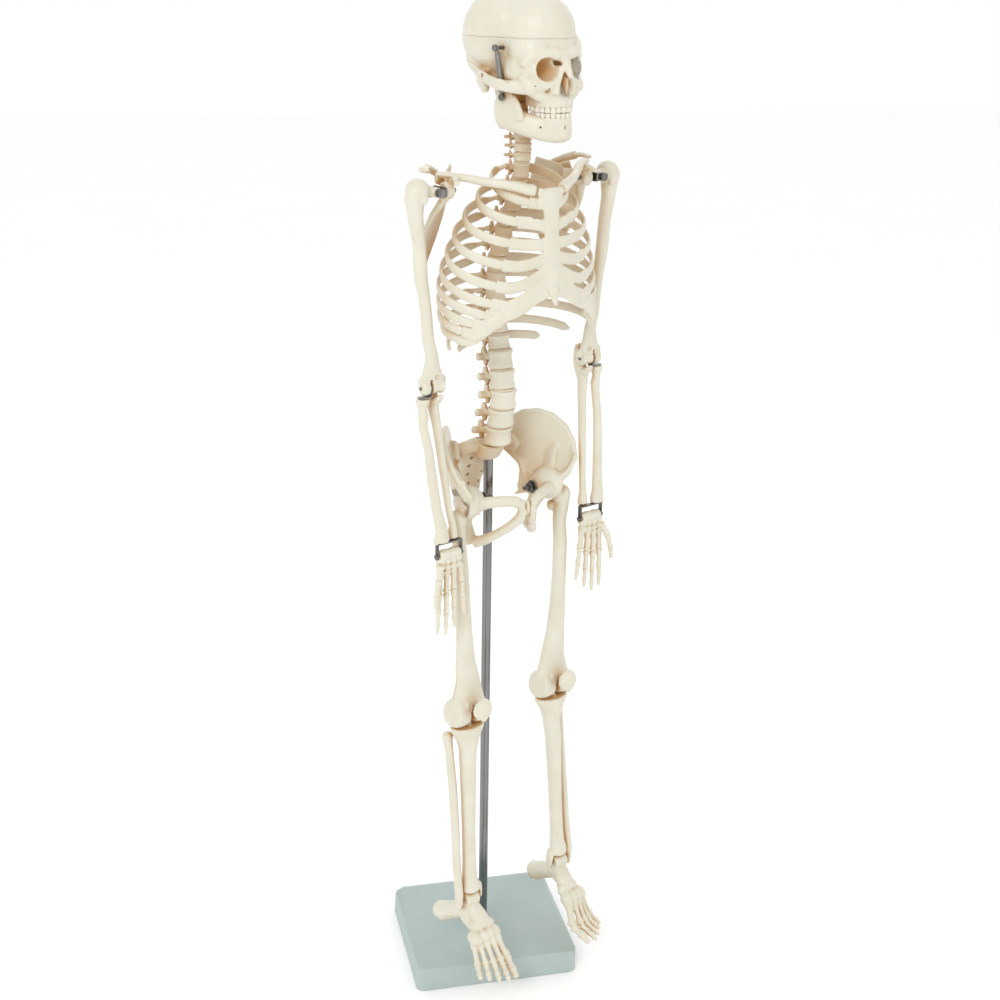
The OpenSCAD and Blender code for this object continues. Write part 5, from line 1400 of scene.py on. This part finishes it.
def tooth_row(name, centre, radius, neck, crown, body, node, shrink):
    piece = start_bone(name)
    for s in (-1, 1):
        reach = 0.0
        for i, half in enumerate(tooth_sizes):
            half *= shrink
            at, out = along_arch(reach + half, radius, 1.0)
            reach += 2 * half
            at, out = V(s * at.x, at.y, 0) + centre, V(s * out.x, out.y, 0)
            along = V(-out.y, out.x, 0)
            deep = 1.5 if i < 3 else 1.9 if i < 5 else 2.3
            down = (crown - neck) / abs(crown - neck)
            edge = 0.55 if i < 3 else 0.95
            dip = 0.5 if i == 2 else 0.0
            strand([(at + V(0, 0, neck) - out * 0.5, half * 0.82, deep * 0.75),
                    (at + V(0, 0, mix(neck, crown, 0.25)) - out * 0.1, half * 0.96, deep * 0.94),
                    (at + V(0, 0, mix(neck, crown, 0.6)), half * 1.06, deep * 0.92),
                    (at + V(0, 0, crown - 0.45 * down + dip * down), half * 1.03, deep * (edge + 0.05)),
                    (at + V(0, 0, crown + dip * down), half * 0.86, deep * edge * 0.75)], side=along, corners=14)
    bpy.ops.object.mode_set(mode="OBJECT")
    apply_modifier(piece, "SUBSURF", levels=1, render_levels=1)
    set_in_place(piece, head, tooth_enamel, "teeth", body, node)


tooth_row("upper_tooth_row", V(0, -36.6, 0), 13.6, -6.8, -11.0, "head", "upper_teeth", 1.0)
tooth_row("lower_tooth_row", V(0, -36.4, 0), 13.0, -15.4, -11.2, "jaw", "lower_teeth", 0.94)


def make_jaw():
    piece = start_bone("lower_jaw")
    for s in (-1, 1):
        strand([((s * 25.4, -20.5, 0), 2.4, 1.6), ((s * 24.8, -22.5, -5), 4.2, 2.0),
                ((s * 23.6, -23.5, -11), 5.2, 2.6),
                ((s * 22.4, -24, -17), 5.4, 3.0)], side=(0, 1, 0))
        # knuckle, neck, branch and front hook
        strand([((s * 24.6, -4, 10), 2.2, 2.0), ((s * 27, -4, 10.2), 2.6, 2.4),
                ((s * 29.0, -4, 10), 2.0, 1.9)], side=(0, 1, 0))
        strand([((s * 27, -4.4, 9), 2.4, 1.7), ((s * 26.8, -6.8, 5), 5.0, 1.9),
                ((s * 26.4, -11, 1), 9.0, 2.0),
                ((s * 26, -12.4, -3), 10.8, 2.2), ((s * 25.4, -12.4, -10), 11.8,
                                                   2.6), ((s * 24.9, -11.6, -16), 11.0, 3.0),
                ((s * 24.4, -11.0, -20), 9.4, 3.0), ((s * 24.2, -11, -24.4), 5.6, 2.2)], side=(0, 1, 0), corners=16)
        strand([((s * 26, -16, -1), 4.0, 1.9), ((s * 26, -17.2, 3), 2.9, 1.6),
                ((s * 26, -17.8, 6.4), 1.5, 1.1)], side=(0, 1, 0))
        # body of the jaw, with its lower border
        strand([((s * 24.6, -11, -15.0), 8.6, 3.2), ((s * 22.4, -19, -17.6), 9.0, 3.8),
                ((s * 18.4, -27, -20.2), 8.8, 4.2),
                ((s * 13.6, -36, -22.4), 8.8, 4.4), ((s * 8.2, -43.4, -23.8), 9.0, 4.4), ((s * 0.01, -46.8, -24.2), 9.2, 4.4)],
               side=(0, 0, 1), corners=18)
        strand([((s * 22.6, -15, -21), 2.2, 2.0), ((s * 17.6, -26, -25.2), 2.2, 2.3),
                ((s * 11.6, -37, -28.4), 2.3, 2.6),
                ((s * 5.4, -43.8, -29.6), 2.4, 2.8)], side=(0, 0, 1))
        knob((s * 4.6, -46.8, -28.2), (4.8, 3.4, 3.8))
        for i in range(5):
            knob((s * (1.8 + 2.6 * i), -48.6 + 0.55 * i * i * 0.8, -18.6), (1.0, 1.4, 2.6))
    knob((0, -48.8, -27.0), (4.4, 3.0, 4.4))
    strand([((0, -36.4, -20), 15.4, 14.0), ((0, -36.4, -14.6), 14.9, 13.8)], corners=32)
    strand([((0, -27, -20), 16.4, 9.6), ((0, -27, -14.8), 15.6, 9.2)], corners=24)
    fuse(piece, 0.62, 7)
    cutter = start_bone("cutter")
    strand([((0, -36.0, -36), 10.8, 9.6), ((0, -35.4, -12), 10.2, 9.4)], corners=28)
    strand([((0, -26.0, -36), 13.4, 14), ((0, -25.0, -12), 9.6, 12)], corners=28)
    strand([((0, -12, -36), 20, 10), ((0, -12, -12), 20, 10)], corners=4)
    for s in (-1, 1):
        strand([((s * 18.6, -42, -21.4), 0.9, 0.9), ((s * 12.4, -37, -21.4), 0.7, 0.7)], corners=10)
    carve(piece, cutter)
    set_in_place(piece, head, ivory, "bone_plastic", "jaw", "mandible")


make_jaw()


def make_springs():
    """Two close-wound tension springs, each with a hook over the screw at either end."""
    spring_steel = steel("spring_steel", (0.30, 0.295, 0.28), (0.12, 0.115, 0.11), 0.22, 0.36, 2500.0, 1.0)
    wire, coil = 0.42, 1.9
    made = []
    for s in (-1, 1):
        low = V(s * jaw_screw.x, jaw_screw.y, jaw_screw.z)
        high = V(s * temple_screw.x, temple_screw.y, temple_screw.z)
        along = (high - low).normalized()
        start, end = low + along * 3.4, high - along * 3.4
        turns = int((end - start).length / (wire * 2.15))
        bpy.ops.object.select_all(action="DESELECT")
        bpy.ops.mesh.primitive_circle_add(vertices=7, radius=wire, location=(coil, 0, 0),
                                          rotation=(math.pi / 2, 0, 0))
        piece = bpy.context.object
        bpy.ops.object.transform_apply(location=True, rotation=True, scale=True)
        apply_modifier(piece, "SCREW", angle=2 * math.pi * turns, screw_offset=(end - start).length,
                       steps=14 * turns, render_steps=14 * turns, use_normal_calculate=True)
        turned = V(0, 0, 1).rotation_difference(along).to_matrix().to_4x4()
        piece.data.transform(Matrix.Translation(start) @ turned)
        made.append(piece)
        for at, inward in ((start, -1), (end, 1)):
            eye = (low if inward < 0 else high)
            hook = start_bone("hook")
            path = [at + V(0, coil, 0) * 0.9]
            for k in range(9):
                a = math.pi * (0.1 + 0.8 * k / 8)
                path.append(eye + V(0, math.cos(a) * 1.75, 0) + along * math.sin(a) * 1.75 * inward)
            path.append(at - V(0, coil, 0) * 0.4)
            strand([(p, wire, wire) for p in path], corners=7)
            bpy.ops.object.mode_set(mode="OBJECT")
            made.append(hook)
    piece = joined(made, "jaw_tension_springs")
    set_in_place(piece, head, spring_steel, "spring_steel", None, "jaw_springs")
    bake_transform(piece)


make_springs()
for fitting in ("neck_post", "skull_screws", "jaw_screws"):
    dress_fitting(fitting, dark_steel)

# ---- Room --------------------------------------------------------------------------------
# A plain pale floor, two large soft lamps and a weak one behind, and the camera at about
# shoulder height in front of the stand.


def make_room():
    bpy.ops.mesh.primitive_plane_add(size=14, location=(0, 0, -0.0004))
    floor = bpy.context.object
    floor.name = "floor"
    material, shader_nodes, links = new_material("pale_floor")
    tree, shader = material.node_tree, shader_nodes["Principled BSDF"]
    soft = use_group(tree, mottle, Scale=3.0)
    links.new(mix_colour(tree, soft.outputs["Mask"], (0.98, 0.98, 0.98), (0.99, 0.99, 0.99)),
              shader.inputs["Base Color"])
    shader.inputs["Roughness"].default_value = 0.8
    floor.data.materials.append(material)

    def lamp(name, power, size, place, aim):
        data = bpy.data.lights.new(name, "AREA")
        data.energy, data.size = power, size
        light = bpy.data.objects.new(name, data)
        bpy.context.scene.collection.objects.link(light)
        light.location = place
        light.rotation_euler = (Vector(aim) - Vector(place)).to_track_quat("-Z", "Y").to_euler()

    lamp("key_lamp", 17, 0.9, (-1.2, -1.9, 1.9), (0, 0, 0.45))
    lamp("fill_lamp", 3, 1.6, (1.9, -1.3, 1.0), (0, 0, 0.45))
    lamp("back_lamp", 5, 1.4, (0.6, 1.9, 1.7), (0, 0, 0.5))
    world = bpy.data.worlds.new("pale_room")
    bpy.context.scene.world = world
    world.use_nodes = True
    world.node_tree.nodes["Background"].inputs["Color"].default_value = (1, 1, 1, 1)
    world.node_tree.nodes["Background"].inputs["Strength"].default_value = 1.0
    bpy.context.scene.view_settings.view_transform = "Standard"

    azimuth, down, roll = math.radians(-13.15), math.radians(19.84), math.radians(0.89)
    place, focal = Vector((-0.27052, -1.20246, 0.87925)), 1561.7
    forward = Vector((-math.sin(azimuth) * math.cos(down), math.cos(azimuth) * math.cos(down),
                      -math.sin(down)))
    data = bpy.data.cameras.new("camera")
    data.sensor_width = 36
    data.lens = focal * data.sensor_width / 1000
    camera = bpy.data.objects.new("camera", data)
    bpy.context.scene.collection.objects.link(camera)
    camera.matrix_world = (Matrix.Translation(place) @ forward.to_track_quat("-Z", "Y").to_matrix().to_4x4()
                           @ Matrix.Rotation(roll, 4, "Z"))
    bpy.context.scene.camera = camera


make_room()
